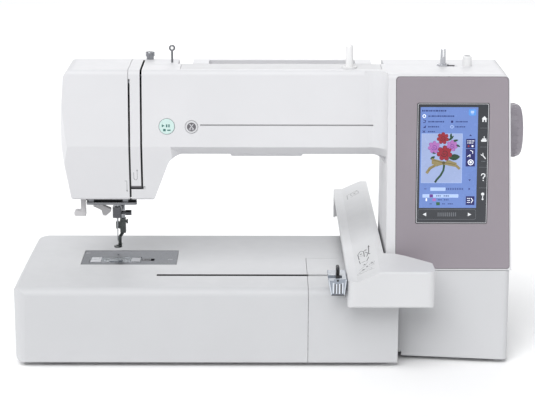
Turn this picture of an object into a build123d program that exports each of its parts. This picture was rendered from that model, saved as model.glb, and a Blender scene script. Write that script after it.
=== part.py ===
from build123d import *
import os
from math import atan2, cos, degrees, hypot, pi, sin, tan

# An embroidery machine: a flat bed, a head on an arm, a screen tower, and a
# carriage arm that moves a hoop over the bed. Millimetres. While drawing,
# x runs right from the bed's left end, y runs back from the bed's front face
# and z runs up from the table; every part is moved to the shared origin, the
# middle of the footprint, when it is written.

# ---- overall -------------------------------------------------------------
RIGHT_END = 554.0
FRONT_REACH = 28.0
ARM_REAR = 363.0
BED_LEFT = -3.8
CENTRE_X = (RIGHT_END + BED_LEFT) / 2
CENTRE_Y = (ARM_REAR - FRONT_REACH) / 2
WALL = 2.6
SEAM = 0.4

# ---- bed -----------------------------------------------------------------
BED_LENGTH = 412.0
BED_DEPTH = 216.0
BED_BOTTOM = 4.6
BED_TOP = 88.6
BED_SEAM_X = 315.0
BED_SEAM_Y = 118.0
SLOT_LEFT, SLOT_RIGHT = 149.0, 392.0
SLOT_Y, SLOT_WIDTH = 52.0, 6.0
FOOT_HEIGHT = 6.0
FOOT_R = 9.0
FOOT_PLACES = ((32, 28), (32, 178), (215, 28), (215, 178), (388, 28), (388, 178), (505, 45), (505, 178))

# ---- head, arm and tower -------------------------------------------------
TOP_Z = 312.5
FOLD_Z = 229.5
FOLD_Y = 68.0
TOP_EDGE_Y = 76.0
ARM_BOTTOM = 219.2
HEAD_BOTTOM = 167.8
HEAD_LEFT = 45.2
BACK_Y = 174.0
TOWER_LEFT = 400.0
TOWER_RIGHT_TOP, TOWER_RIGHT_BOTTOM = 530.5, 537.0
TOWER_FRONT_BOTTOM, TOWER_FRONT_TOP = 36.0, 54.2
TOWER_SEAM_Z = 99.6
SPLIT_Y = 112.0
FACE_SEAM_X = 119.2
STRIP_LEFT, STRIP_RIGHT, STRIP_BOTTOM, STRIP_END_Y = 121.2, 132.2, 182.5, 139.6
LEFT_SLIT_TOP = 303.0
SLIT = 2.0

PANEL_TILT = atan2(TOWER_FRONT_TOP - TOWER_FRONT_BOTTOM, TOP_Z - 99.0)
PANEL = Plane(origin=(0, TOWER_FRONT_BOTTOM, 99.0), x_dir=(1, 0, 0),
              z_dir=(0, -cos(PANEL_TILT), sin(PANEL_TILT)))
FACE_TILT = atan2(TOP_EDGE_Y - FOLD_Y, TOP_Z - FOLD_Z)
ARM_FACE = Plane(origin=(0, FOLD_Y, FOLD_Z), x_dir=(1, 0, 0),
                 z_dir=(0, -cos(FACE_TILT), sin(FACE_TILT)))

# ---- screen --------------------------------------------------------------
GLASS_X0, GLASS_X1, GLASS_Z0, GLASS_Z1 = 432.0, 508.5, 151.3, 281.3
LCD_X0, LCD_X1, LCD_Z0, LCD_Z1 = 435.0, 497.0, 168.0, 277.5

# ---- mechanism -----------------------------------------------------------
SHAFT_Y, SHAFT_Z, SHAFT_R = 126.0, 236.5, 6.0
LOW_Y, LOW_Z, LOW_R = 125.5, 40.0, 5.0
RUNNING = 0.05
NEEDLE_X, NEEDLE_Y = 100.3, 132.0
PRESSER_X, PRESSER_Y = 105.2, 148.0
BAR_R, PRESSER_R = 3.2, 2.4
CLAMP_Z, CLAMP_SCREW_Z = 133.5, 138.6
FOOT_Z = 98.0
CRANK_THROW = 16.0
ROD_LENGTH = 36.0
HOOK_X, HOOK_Y = 100.0, 112.5
WHEEL_X0, WHEEL_X1, WHEEL_R = 538.5, RIGHT_END, 30.5
TIMING_X0, TIMING_X1, TIMING_R = 448.0, 460.0, 14.0
DRIVE_X0, DRIVE_X1, DRIVE_R = 500.0, 509.0, 32.0
MOTOR_Y, MOTOR_Z, MOTOR_R, MOTOR_PULLEY_R = 98.0, 130.0, 25.0, 8.0

# ---- carriage ------------------------------------------------------------
ARM_X0, ARM_X1 = 355.5, 397.0
CLEAR_Z = BED_TOP + 1.0
RAIL_YS, RAIL_Z, RAIL_R = (36.0, 68.0), 60.0, 4.0
Y_RAIL_X, Y_RAIL_Z, Y_RAIL_R = 378.0, 98.0, 3.0
Y_MOTOR_Y = -12.0
X_PULLEY_X, X_IDLER_X, X_PULLEY_Z, X_PULLEY_R = 384.0, 152.0, 31.0, 6.0

# ---- top fittings --------------------------------------------------------
WINDER_X, WINDER_Y = 463.5, 108.0
STOPPER_X = 490.0
SPOOL_X, SPOOL_Y = 360.0, 95.0
TENSION_X, TENSION_Y = 139.3, 147.0
POST_X, POST_Y = 165.0, 126.0
START_X, START_Z, START_R = 161.2, 251.8, 8.4
CUTTER_X, CUTTER_Z, CUTTER_R = 188.1, 251.3, 6.8
RECESS_X0, RECESS_X1, RECESS_Y, RECESS_Z = 172.0, 399.0, 118.0, 298.0
HANDLE_X0, HANDLE_X1, HANDLE_Y, HANDLE_Z = 188.0, 386.0, 126.0, 305.5


# ---- drawing helpers -----------------------------------------------------
def profile(corners):
    """A closed face in XY from corners (a, b) or (a, b, fillet radius)."""
    points = [Vector(c[0], c[1]) for c in corners]
    radii = [c[2] if len(c) > 2 else 0 for c in corners]
    starts, ends, edges = [], [], []
    for i, point in enumerate(points):
        back = (points[i - 1] - point).normalized()
        ahead = (points[(i + 1) % len(points)] - point).normalized()
        if radii[i] == 0:
            starts.append(point)
            ends.append(point)
            continue
        half = back.get_angle(ahead) * pi / 360
        reach = radii[i] / tan(half)
        middle = point + (back + ahead).normalized() * (radii[i] / sin(half) - radii[i])
        starts.append(point + back * reach)
        ends.append(point + ahead * reach)
        edges.append(Edge.make_three_point_arc(starts[i], middle, ends[i]))
    for i in range(len(points)):
        if (starts[i] - ends[i - 1]).length > 1e-6:
            edges.append(Edge.make_line(ends[i - 1], starts[i]))
    return Face(Wire.combine(edges)[0])


def inset(corners, amount):
    """The same corners moved inwards by amount; fillets follow."""
    count = len(corners)
    area = sum(corners[i - 1][0] * corners[i][1] - corners[i][0] * corners[i - 1][1] for i in range(count))
    turn = 1 if area > 0 else -1
    moved = []
    for i in range(count):
        (ax, ay), (bx, by), (cx, cy) = (corners[j % count][:2] for j in (i - 1, i, i + 1))
        la, lb = hypot(bx - ax, by - ay), hypot(cx - bx, cy - by)
        ux, uy, vx, vy = (bx - ax) / la, (by - ay) / la, (cx - bx) / lb, (cy - by) / lb
        cross = ux * vy - uy * vx
        px, py = ax - turn * uy * amount, ay + turn * ux * amount
        qx, qy = bx - turn * vy * amount, by + turn * vx * amount
        step = ((qx - px) * vy - (qy - py) * vx) / cross
        radius = corners[i][2] if len(corners[i]) > 2 else 0
        if radius:
            radius = max(radius - amount, 0.4) if cross * turn > 0 else radius + amount
        moved.append((px + ux * step, py + uy * step, radius))
    return moved


def prism_x(corners, x0, x1):
    return extrude(Plane.YZ.offset(x0) * profile(corners), amount=x1 - x0, dir=(1, 0, 0))


def prism_y(corners, y0, y1):
    return extrude(Plane.XZ.offset(-y0) * profile(corners), amount=y1 - y0, dir=(0, 1, 0))


def prism_z(corners, z0, z1):
    return extrude(Plane.XY.offset(z0) * profile(corners), amount=z1 - z0, dir=(0, 0, 1))


def box(x0, x1, y0, y1, z0, z1):
    return Pos((x0 + x1) / 2, (y0 + y1) / 2, (z0 + z1) / 2) * Box(x1 - x0, y1 - y0, z1 - z0)


def rod_x(y, z, r, x0, x1):
    return Pos((x0 + x1) / 2, y, z) * Rot(0, 90, 0) * Cylinder(r, x1 - x0)


def rod_y(x, z, r, y0, y1):
    return Pos(x, (y0 + y1) / 2, z) * Rot(90, 0, 0) * Cylinder(r, y1 - y0)


def rod_z(x, y, r, z0, z1):
    return Pos(x, y, (z0 + z1) / 2) * Cylinder(r, z1 - z0)


def strut(a, b, r):
    """A round bar between two points."""
    a, b = Vector(a), Vector(b)
    return Plane(a, z_dir=b - a) * Pos(0, 0, (b - a).length / 2) * Cylinder(r, (b - a).length)


def on_plane(plane, x, up, shape):
    """Put a shape drawn at the origin on a tilted front, up its slope."""
    return plane * Pos(x, up, 0) * shape


def slope(plane, z):
    """Distance up a tilted front at height z."""
    return (z - plane.origin.Z) / plane.y_dir.Z


def belt_loop(a, b, ra, rb, thickness):
    """A flat belt round two circles, as a face in XY."""
    def around(grow):
        r1, r2 = ra + grow, rb + grow
        span = hypot(b[0] - a[0], b[1] - a[1])
        along = atan2(b[1] - a[1], b[0] - a[0])
        spread = pi / 2 + atan2(r2 - r1, (span ** 2 - (r2 - r1) ** 2) ** 0.5)
        def rim(centre, r, angle):
            return Vector(centre[0] + r * cos(angle), centre[1] + r * sin(angle))
        lo_a, lo_b = rim(a, r1, along - spread), rim(b, r2, along - spread)
        hi_a, hi_b = rim(a, r1, along + spread), rim(b, r2, along + spread)
        edges = [Edge.make_line(lo_a, lo_b),
                 Edge.make_three_point_arc(lo_b, rim(b, r2, along), hi_b),
                 Edge.make_line(hi_b, hi_a),
                 Edge.make_three_point_arc(hi_a, rim(a, r1, along + pi), lo_a)]
        return Face(Wire.combine(edges)[0])
    return around(thickness) - around(0)


# ---- bed -----------------------------------------------------------------
BED_PLAN = [(BED_LEFT, 0, 17), (BED_LENGTH, 0), (BED_LENGTH, BED_DEPTH), (1.5, BED_DEPTH, 20)]
BED_FRONT_VIEW = [(BED_LEFT + 0.6, BED_BOTTOM, 7), (BED_LENGTH, BED_BOTTOM), (BED_LENGTH, BED_TOP),
                  (BED_LEFT, BED_TOP, 8)]
BED_SIDE_VIEW = [(0.8, BED_BOTTOM, 2), (BED_DEPTH - 1.5, BED_BOTTOM, 2), (BED_DEPTH, BED_TOP, 3),
                 (0, BED_TOP, 9)]
PLATE_X0, PLATE_X1, PLATE_Y0, PLATE_Y1 = 61.0, 169.0, 92.0, 150.0
WINDOW_X0, WINDOW_X1, WINDOW_Y0, WINDOW_Y1 = 70.0, 128.0, 102.0, 123.0
PLATE_SCREWS = ((160.7, 114.6), (65.2, 140.0))


def three_views(plan, front, side, x0, x1, y0, y1, z0, z1):
    return prism_z(plan, z0, z1) & prism_y(front, y0, y1) & prism_x(side, x0, x1)


def bed_shell():
    outer = three_views(BED_PLAN, BED_FRONT_VIEW, BED_SIDE_VIEW, -9, BED_LENGTH + 5, -5, 225, 0, 95)
    inner = three_views(inset(BED_PLAN, WALL), inset(BED_FRONT_VIEW, WALL), inset(BED_SIDE_VIEW, WALL),
                        -9, BED_LENGTH + 5, -5, 225, 0, 95)
    shell = outer - inner - box(6, BED_LENGTH + 1, 6, BED_DEPTH - 6, 0, BED_BOTTOM + WALL + 1)
    shell -= box(BED_LENGTH - 6, BED_LENGTH + 1, 8, 198, 0, 60)
    shell -= box(PLATE_X0, PLATE_X1, PLATE_Y0, PLATE_Y1, 80, 95)
    slot = box(SLOT_LEFT, SLOT_RIGHT, SLOT_Y - SLOT_WIDTH / 2, SLOT_Y + SLOT_WIDTH / 2, 80, 95)
    return shell - slot


def bed_cover(shell):
    bay = box(BED_SEAM_X - SEAM, BED_LENGTH + 1, -1, BED_SEAM_Y + SEAM, 0, 95)
    return shell - bay


def carriage_bay_cover(shell):
    return shell & box(BED_SEAM_X, BED_LENGTH + 1, -1, BED_SEAM_Y, 0, 95)


def base_pan():
    plan = [(7, 7, 14), (408.5, 7), (408.5, 34), (529, 20, 3), (528.5, 192, 6), (14, 200, 10)]
    pan = prism_z(plan, FOOT_HEIGHT, FOOT_HEIGHT + 3)
    for row in range(4):
        for column in range(6):
            y = 75 + row * 12
            pan -= box(250 + column * 20, 264 + column * 20, y, y + 4, 0, 12)
    return pan


def rubber_feet():
    feet = []
    for x, y in FOOT_PLACES:
        foot = Pos(x, y, FOOT_HEIGHT / 2) * Cone(FOOT_R - 1.2, FOOT_R, FOOT_HEIGHT)
        feet.append(foot - rod_z(x, y, 2.5, -1, 3))
    return feet


# ---- tower base ----------------------------------------------------------
def base_section(z, front_left, front_right, right, shrink):
    corners = [(BED_LENGTH + SEAM, front_left), (right, front_right, 7), (right, 198, 7),
               (BED_LENGTH + SEAM, 198)]
    if shrink:
        corners = inset(corners, shrink)
    return Plane.XY.offset(z) * profile(corners)


def tower_base_cover():
    outer = loft([base_section(4.5, 28, 13, 533, 0), base_section(99, 36, 36, 535.5, 0)])
    outer += box(TOWER_LEFT, BED_LENGTH + 1, 42, BACK_Y, BED_TOP + 0.4, 99)
    inner = loft([base_section(4.4, 28, 13, 533, WALL), base_section(96.4, 36, 36, 535.5, WALL)])
    shell = outer - inner
    shell -= box(TOWER_LEFT + WALL, 532, 44.6, BACK_Y - WALL, BED_TOP + 3, 110)
    shell -= box(BED_LENGTH - 1, BED_LENGTH + 6, 42, 195, 0, 60)
    shell -= box(TOWER_LEFT - 1, BED_LENGTH + 6, 8, 42, 0, 9.4)
    shell -= box(530, 540, 141, 169, 24, 46)
    shell -= box(530, 540, 109, 129, 28, 42)
    for z in (56, 68):
        shell -= box(530, 540, 84, 98, z, z + 6)
    return shell


# ---- head, arm and tower shell -------------------------------------------
HEAD_FRONT_VIEW = [(49.4, TOP_Z, 10), (HEAD_LEFT, 255, 60), (HEAD_LEFT, FOLD_Z, 8), (55, HEAD_BOTTOM, 4),
                   (146, HEAD_BOTTOM, 4), (165.5, ARM_BOTTOM, 16), (430, ARM_BOTTOM), (430, TOP_Z)]
HEAD_SIDE_VIEW = [(TOP_EDGE_Y, HEAD_BOTTOM, 3), (166, HEAD_BOTTOM, 8), (BACK_Y, 225, 30), (BACK_Y, TOP_Z, 28),
                  (TOP_EDGE_Y, TOP_Z, 6), (FOLD_Y, FOLD_Z, 5)]
HEAD_PLAN = [(HEAD_LEFT - 1, FOLD_Y - 1, 14), (430, FOLD_Y - 1), (430, BACK_Y + 1),
             (HEAD_LEFT - 1, BACK_Y + 1, 12)]
TOWER_FRONT_VIEW = [(TOWER_LEFT, TOWER_SEAM_Z), (TOWER_RIGHT_BOTTOM, TOWER_SEAM_Z),
                    (TOWER_RIGHT_TOP, TOP_Z, 9), (TOWER_LEFT, TOP_Z)]
TOWER_SIDE_VIEW = [(TOWER_FRONT_BOTTOM, 99), (BACK_Y, 99), (BACK_Y, TOP_Z, 28), (TOWER_FRONT_TOP, TOP_Z, 5)]


def upper_outer():
    head = three_views(HEAD_PLAN, HEAD_FRONT_VIEW, HEAD_SIDE_VIEW, 0, 500, 0, 250, 150, 350)
    chamfer = [(55, 233), (FOLD_Y - 0.35, 233), (FOLD_Y - 0.35, FOLD_Z), (79.5, ARM_BOTTOM),
               (79.5, 210), (55, 210)]
    run_out = [(163, 50), (163, 66), (177, 80), (TOWER_LEFT + 1, 80), (TOWER_LEFT + 1, 50)]
    head -= ((prism_x(chamfer, 160, TOWER_LEFT + 1) & prism_z(run_out, 200, 240))
             - box(160, 410, 50, 67.5, 229, 240))
    tower = prism_y(TOWER_FRONT_VIEW, 0, 250) & prism_x(TOWER_SIDE_VIEW, 300, 600)
    side_blend = profile([(376, 80), (404, 80), (404, 15), (400.3, 15), (400.3, FOLD_Y, 20), (376, FOLD_Y)])
    lean = (0, TOP_EDGE_Y - FOLD_Y, TOP_Z - FOLD_Z)
    tuck = (0, 79.5 - FOLD_Y, ARM_BOTTOM - FOLD_Z)
    blend = extrude(Plane.XY.offset(FOLD_Z) * side_blend, amount=hypot(*lean), dir=lean)
    blend += extrude(Plane.XY.offset(FOLD_Z) * side_blend, amount=hypot(*tuck), dir=tuck)
    blend = blend & prism_x(TOWER_SIDE_VIEW, 300, 600)
    under_blend = [(382, 222), (402, 222), (402, 200), (400, 200), (400, ARM_BOTTOM, 15), (382, ARM_BOTTOM)]
    under = prism_y(under_blend, 79.5, 160)
    return head + tower + blend + under - recess(0)


def recess(grow):
    return box(RECESS_X0 - grow, RECESS_X1 + grow, RECESS_Y - grow, 200, RECESS_Z - grow, 330)


def upper_inner():
    front, side, plan = (inset(view, WALL) for view in (HEAD_FRONT_VIEW, HEAD_SIDE_VIEW, HEAD_PLAN))
    head = three_views(plan, front, side, 0, 500, 0, 250, 150, 350)
    head -= prism_x([(50, FOLD_Z + 2), (FOLD_Y + 3, FOLD_Z + 2), (83, ARM_BOTTOM + 2),
                     (83, 200), (50, 200)], 168, 420)
    tower = prism_y(inset(TOWER_FRONT_VIEW, WALL), 0, 250) & prism_x(inset(TOWER_SIDE_VIEW, WALL), 300, 600)
    tower += box(TOWER_LEFT + WALL, 532, 44.6, BACK_Y - WALL, 90, 110)
    return head + tower - recess(WALL)


def upper_shell():
    shell = upper_outer() - upper_inner()
    shell -= box(58.2, 141, 86, 158, 160, 176)
    shell -= box(111.4, 118.6, 150, 190, 165, 222)
    shell -= rod_x(SHAFT_Y, SHAFT_Z, SHAFT_R + 3, 520, 545)
    slit_mouth = [(STRIP_LEFT - SLIT, STRIP_BOTTOM - SLIT), (136.5, STRIP_BOTTOM - SLIT),
                  (136.5, STRIP_BOTTOM + 1), (STRIP_RIGHT + SLIT, STRIP_BOTTOM + 1),
                  (STRIP_RIGHT + SLIT, 330), (STRIP_LEFT - SLIT, 330)]
    strip = box(STRIP_LEFT, STRIP_RIGHT, 50, STRIP_END_Y, STRIP_BOTTOM, 330)
    strip += box(FACE_SEAM_X + SEAM, STRIP_LEFT + 1, 50, STRIP_END_Y, LEFT_SLIT_TOP, 330)
    return shell, shell & strip, prism_y(slit_mouth, 50, STRIP_END_Y)


def panel_outline(grow):
    up0, up1 = slope(PANEL, 101.2), slope(PANEL, 309.8)
    return [(410.8 - grow, up0 - grow, 3), (534.6 + grow, up0 - grow, 3),
            (528.4 + grow, up1 + grow, 4), (408.6 - grow, up1 + grow, 4)]


def panel_slab(corners, depth, proud):
    return PANEL * extrude(Pos(0, 0, -depth) * profile(corners), amount=depth + proud, dir=(0, 0, 1))


def face_cover(shell):
    return shell & box(0, FACE_SEAM_X, 0, 250, 100, 350)


def front_cover(shell, mouth):
    cover = shell & box(STRIP_LEFT, 560, 0, SPLIT_Y, 95, 350)
    cover -= mouth
    cover -= panel_slab(panel_outline(SEAM), WALL + 4, 4)
    cover -= top_region(SEAM)
    for x, z, r in ((START_X, START_Z, START_R), (CUTTER_X, CUTTER_Z, CUTTER_R)):
        cover -= on_plane(ARM_FACE, x, slope(ARM_FACE, z), Cylinder(r + 0.35, 12))
    groove = Pos(292, slope(ARM_FACE, 253.3), 0) * Box(189, 1.4, 1.4)
    cover -= ARM_FACE * groove
    lamp = prism_y([(230, 221), (230, 216, 3), (309.5, 216, 3), (309.5, 221)], 82, 110)
    cover += lamp - box(235.7, 303.8, 85.7, 106.3, 215, 217.5)
    return cover


def rear_cover(shell, mouth):
    cover = shell & box(FACE_SEAM_X + SEAM, 560, SPLIT_Y + SEAM, 250, 95, 350)
    cover = cover - mouth - top_region(SEAM)
    for row in range(6):
        z = 128 + row * 9
        cover -= box(420, 500, 160, 190, z, z + 3.4)
    return cover


def top_region(grow):
    return box(176 - grow, TOWER_LEFT - 5 + grow, 86 - grow, 250, RECESS_Z - WALL - grow, 350)


def top_cover(shell):
    return shell & top_region(0)


def screen_panel():
    outer = prism_x(TOWER_SIDE_VIEW, 300, 600) & panel_slab(panel_outline(0), WALL, 5)
    up0, up1 = slope(PANEL, GLASS_Z0), slope(PANEL, GLASS_Z1)
    hole = [(GLASS_X0 - 0.7, up0 - 0.7, 2), (GLASS_X1 + 0.7, up0 - 0.7, 2),
            (GLASS_X1 + 0.7, up1 + 0.7, 2), (GLASS_X0 - 0.7, up1 + 0.7, 2)]
    return outer - panel_slab(hole, 10, 5)


def touch_glass():
    up0, up1 = slope(PANEL, GLASS_Z0), slope(PANEL, GLASS_Z1)
    plate = [(GLASS_X0, up0, 1.5), (GLASS_X1, up0, 1.5), (GLASS_X1, up1, 1.5), (GLASS_X0, up1, 1.5)]
    return panel_slab(plate, 3, -0.4) - panel_slab(lcd_outline(0), 10, 5)


def lcd_outline(shrink):
    up0, up1 = slope(PANEL, LCD_Z0), slope(PANEL, LCD_Z1)
    return [(LCD_X0 + shrink, up0 + shrink), (LCD_X1 - shrink, up0 + shrink),
            (LCD_X1 - shrink, up1 - shrink), (LCD_X0 + shrink, up1 - shrink)]


def lcd_display():
    return panel_slab(lcd_outline(0), 5, -0.6)


# ---- frame and drive -----------------------------------------------------
def main_frame():
    frame = box(70, 440, 96, 156, 10, 26)
    frame += box(418, 440, 100, 152, 26, 292)
    frame += box(128, 440, 100, 150, 270, 292)
    frame += box(128, 134, 100, 156, 176, 292)
    frame += box(90, 134, 122, 156, 262, 270)
    frame += box(90, 134, 122, 156, 176, 184)
    frame += box(300, 310, 110, 142, 222, 270)
    for x in (134, 404):
        frame += box(x, x + 10, 112, 139, 26, 52)
    frame += box(76, 84, 98, 122, 26, 57)
    frame += box(76, 122, 101, 119, 49, 57)
    for x in (160, 220, 280, 340):
        frame -= box(x, x + 46, 106, 146, 14, 30)
    frame -= box(150, 295, 108, 142, 276, 295)
    frame -= box(315, 410, 108, 142, 276, 295)
    for x0, x1 in ((128, 134), (300, 310), (418, 440)):
        frame -= rod_x(SHAFT_Y, SHAFT_Z, SHAFT_R + 2.5, x0 - 1, x1 + 1)
    for x in (134, 404):
        frame -= rod_x(LOW_Y, LOW_Z, LOW_R + 2, x - 1, x + 11)
    frame -= box(109.5, 115.5, 100, 142.5, 170, 190)
    frame -= box(417, 441, LOW_Y - 10, LOW_Y + 10, LOW_Z - 10, LOW_Z + 10)
    frame -= rod_z(HOOK_X, HOOK_Y, 7, 48, 58)
    for z in (176, 262):
        frame -= rod_z(NEEDLE_X, NEEDLE_Y, BAR_R + 2, z - 1, z + 9)
        frame -= rod_z(PRESSER_X, PRESSER_Y, PRESSER_R + 1.5, z - 1, z + 9)
    return frame


def ring_x(y, z, outer, inner, x0, x1):
    return rod_x(y, z, outer, x0, x1) - rod_x(y, z, inner, x0 - 1, x1 + 1)


def ring_z(x, y, outer, inner, z0, z1):
    return rod_z(x, y, outer, z0, z1) - rod_z(x, y, inner, z0 - 1, z1 + 1)


def shaft_bushes():
    bushes = []
    for x0, x1 in ((128, 134), (300, 310), (418, 440)):
        bushes.append(ring_x(SHAFT_Y, SHAFT_Z, SHAFT_R + 2.5, SHAFT_R + RUNNING, x0, x1))
    for x in (134, 404):
        bushes.append(ring_x(LOW_Y, LOW_Z, LOW_R + 2, LOW_R + RUNNING, x, x + 10))
    bushes.append(ring_z(HOOK_X, HOOK_Y, 7, 3 + RUNNING, 49, 57))
    for z in (176, 262):
        bushes.append(ring_z(NEEDLE_X, NEEDLE_Y, BAR_R + 2, BAR_R + RUNNING, z, z + 8))
        bushes.append(ring_z(PRESSER_X, PRESSER_Y, PRESSER_R + 1.5, PRESSER_R + RUNNING, z, z + 8))
    return bushes


def main_shaft():
    crank = rod_x(SHAFT_Y, SHAFT_Z, 20, 116, 122)
    crank -= prism_x([(SHAFT_Y - 30, SHAFT_Z + 8), (SHAFT_Y - 9, SHAFT_Z + 8), (SHAFT_Y - 9, SHAFT_Z + 30),
                      (SHAFT_Y - 30, SHAFT_Z + 30)], 110, 130)
    crank -= prism_x([(SHAFT_Y + 9, SHAFT_Z + 8), (SHAFT_Y + 30, SHAFT_Z + 8), (SHAFT_Y + 30, SHAFT_Z + 30),
                      (SHAFT_Y + 9, SHAFT_Z + 30)], 110, 130)
    pin = rod_x(SHAFT_Y, SHAFT_Z + CRANK_THROW, 3, 110, 117)
    return crank + pin + rod_x(SHAFT_Y, SHAFT_Z, SHAFT_R, 121, RIGHT_END - 3)


def handwheel():
    wide = WHEEL_X1 - WHEEL_X0
    wheel = [(0, 0), (WHEEL_R - 1.5, 0, 1.5), (WHEEL_R, 8, 3), (WHEEL_R - 3, wide, 5), (17, wide, 2),
             (14, wide - 2, 2), (0, wide - 2)]
    turned = revolve(profile(wheel), axis=Axis.Y, revolution_arc=360)
    wheel = Pos(WHEEL_X0, SHAFT_Y, SHAFT_Z) * Rot(0, 0, -90) * turned
    for i in range(24):
        angle = i * pi / 12
        wheel -= rod_x(SHAFT_Y + (WHEEL_R + 0.6) * cos(angle), SHAFT_Z + (WHEEL_R + 0.6) * sin(angle), 1.6,
                       WHEEL_X0 - 1, WHEEL_X0 + 14)
    return wheel - rod_x(SHAFT_Y, SHAFT_Z, SHAFT_R, WHEEL_X0 - 1, RIGHT_END - 3)


def toothed_pulley(y, z, r, x0, x1, bore, teeth):
    pulley = rod_x(y, z, r, x0 + 1, x1 - 1)
    for i in range(teeth):
        angle = 2 * pi * i / teeth
        pulley -= rod_x(y + r * cos(angle), z + r * sin(angle), 0.7, x0, x1)
    pulley += rod_x(y, z, r + 1.6, x0, x0 + 1) + rod_x(y, z, r + 1.6, x1 - 1, x1)
    return pulley - rod_x(y, z, bore, x0 - 1, x1 + 1)


def upper_pulleys():
    return [toothed_pulley(SHAFT_Y, SHAFT_Z, TIMING_R, TIMING_X0, TIMING_X1, SHAFT_R, 24),
            toothed_pulley(SHAFT_Y, SHAFT_Z, DRIVE_R, DRIVE_X0, DRIVE_X1, SHAFT_R, 48)]


def connecting_rod():
    top, bottom = SHAFT_Z + CRANK_THROW, SHAFT_Z + CRANK_THROW - ROD_LENGTH
    rod = rod_x(SHAFT_Y, top, 6.5, 110.5, 114.5) + rod_x(SHAFT_Y, bottom, 4.5, 110.5, 114.5)
    rod += box(110.5, 114.5, SHAFT_Y - 2.6, SHAFT_Y + 2.6, bottom, top)
    return rod - rod_x(SHAFT_Y, top, 3 + RUNNING, 105, 120) - rod_x(SHAFT_Y, bottom, 2.2, 105, 120)


TAKE_UP_Y, TAKE_UP_Z = 118.0, 276.0


def take_up_lever():
    y, z = TAKE_UP_Y, TAKE_UP_Z
    arm = prism_x([(y + 3, z - 5, 2), (y + 3, z + 5, 2), (y - 30, z + 26, 2), (y - 38, z + 27, 2.5),
                   (y - 38, z + 20, 2.5),
                   (y - 30, z + 19, 2)], 119.3, 120.7)
    arm -= rod_x(y - 34.5, z + 23.4, 1.3, 110, 130)
    return arm + rod_x(y, z, 5, 118.2, 123.6) + rod_x(y, z, 2.5, 123, 127.7)


def lower_shaft():
    gear = rod_x(LOW_Y, LOW_Z, 8.5, 93, 107)
    for i in range(16):
        angle = 2 * pi * i / 16
        gear -= rod_x(LOW_Y + 8.9 * cos(angle), LOW_Z + 8.9 * sin(angle), 1.0, 92, 108)
    shaft = rod_x(LOW_Y, LOW_Z, LOW_R, 88, TIMING_X1 + 2)
    pulley = toothed_pulley(LOW_Y, LOW_Z, TIMING_R, TIMING_X0, TIMING_X1, LOW_R - 1, 24)
    return gear + shaft + pulley


def rotary_hook():
    x, y = HOOK_X, HOOK_Y
    cup = ring_z(x, y, 18.6, 17.2, 60, 80) + rod_z(x, y, 18.6, 58, 60.5)
    cup -= Pos(x, y + 18, 77) * Box(16, 6, 8)
    cup += rod_z(x, y, 3, 30, 59)
    gear = rod_z(x, y, 4.2, 34, 46)
    for i in range(8):
        angle = pi * i / 4
        gear -= rod_z(x + 4.6 * cos(angle), y + 4.6 * sin(angle), 0.8, 33, 47)
    return cup + gear


def bobbin_holder():
    x, y = HOOK_X, HOOK_Y
    cup = rod_z(x, y, 16.8, 61, 84) - rod_z(x, y, 11.5, 66.5, 85)
    cup += ring_z(x, y, 19.5, 16, 81.2, 83) & box(x - 25, x + 25, y - 25, y + 12, 60, 90)
    return cup


def bobbin():
    x, y = HOOK_X, HOOK_Y
    spool = ring_z(x, y, 10.2, 3.1, 67, 68.2) + ring_z(x, y, 10.2, 3.1, 77.3, 78.5)
    spool += ring_z(x, y, 4.4, 3.1, 67, 78.5)
    for i in range(6):
        angle = pi * i / 3
        spool -= rod_z(x + 7.4 * cos(angle), y + 7.4 * sin(angle), 1.3, 60, 90)
    return spool


def drive_belts():
    timing = belt_loop((LOW_Y, LOW_Z), (SHAFT_Y, SHAFT_Z), TIMING_R + 0.3, TIMING_R + 0.3, 1.1)
    motor = belt_loop((MOTOR_Y, MOTOR_Z), (SHAFT_Y, SHAFT_Z), MOTOR_PULLEY_R + 0.3, DRIVE_R + 0.3, 1.1)
    cross = belt_loop((X_IDLER_X, X_PULLEY_Z), (X_PULLEY_X, X_PULLEY_Z),
                      X_PULLEY_R + 0.3, X_PULLEY_R + 0.3, 1.1)
    belts = [extrude(Plane.YZ.offset(TIMING_X0 + 1.4) * timing, amount=9.2, dir=(1, 0, 0)),
             extrude(Plane.YZ.offset(DRIVE_X0 + 1.4) * motor, amount=6.2, dir=(1, 0, 0)),
             extrude(Plane.XZ.offset(-79.4) * cross, amount=5.2, dir=(0, 1, 0))]
    return belts


def drive_motors():
    main = rod_x(MOTOR_Y, MOTOR_Z, MOTOR_R, 466, 496) - rod_x(MOTOR_Y, MOTOR_Z, 2.5, 480, 500)
    main += box(470, 492, MOTOR_Y - 14, MOTOR_Y + 14, MOTOR_Z - 33, MOTOR_Z - 20)
    small = rod_y(X_PULLEY_X, X_PULLEY_Z, 17, 44, 76) - rod_y(X_PULLEY_X, X_PULLEY_Z, 2, 60, 80)
    return [main, small]


def motor_pulley():
    return toothed_pulley(MOTOR_Y, MOTOR_Z, MOTOR_PULLEY_R, DRIVE_X0, DRIVE_X1, 2, 16) \
        + rod_x(MOTOR_Y, MOTOR_Z, 2.45, 482, DRIVE_X1)


def control_boards():
    main = box(418, 524, 62, 64, 120, 280)
    for x, z, w, h in ((430, 140, 24, 24), (470, 150, 18, 18), (440, 190, 30, 14),
                       (490, 210, 16, 30), (430, 240, 20, 20)):
        main += box(x, x + w, 63, 67, z, z + h)
    supply = box(466, 526, 50, 108, 12, 14) + box(470, 500, 56, 92, 13, 42) + box(504, 520, 60, 76, 13, 36)
    return [main, supply]


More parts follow.
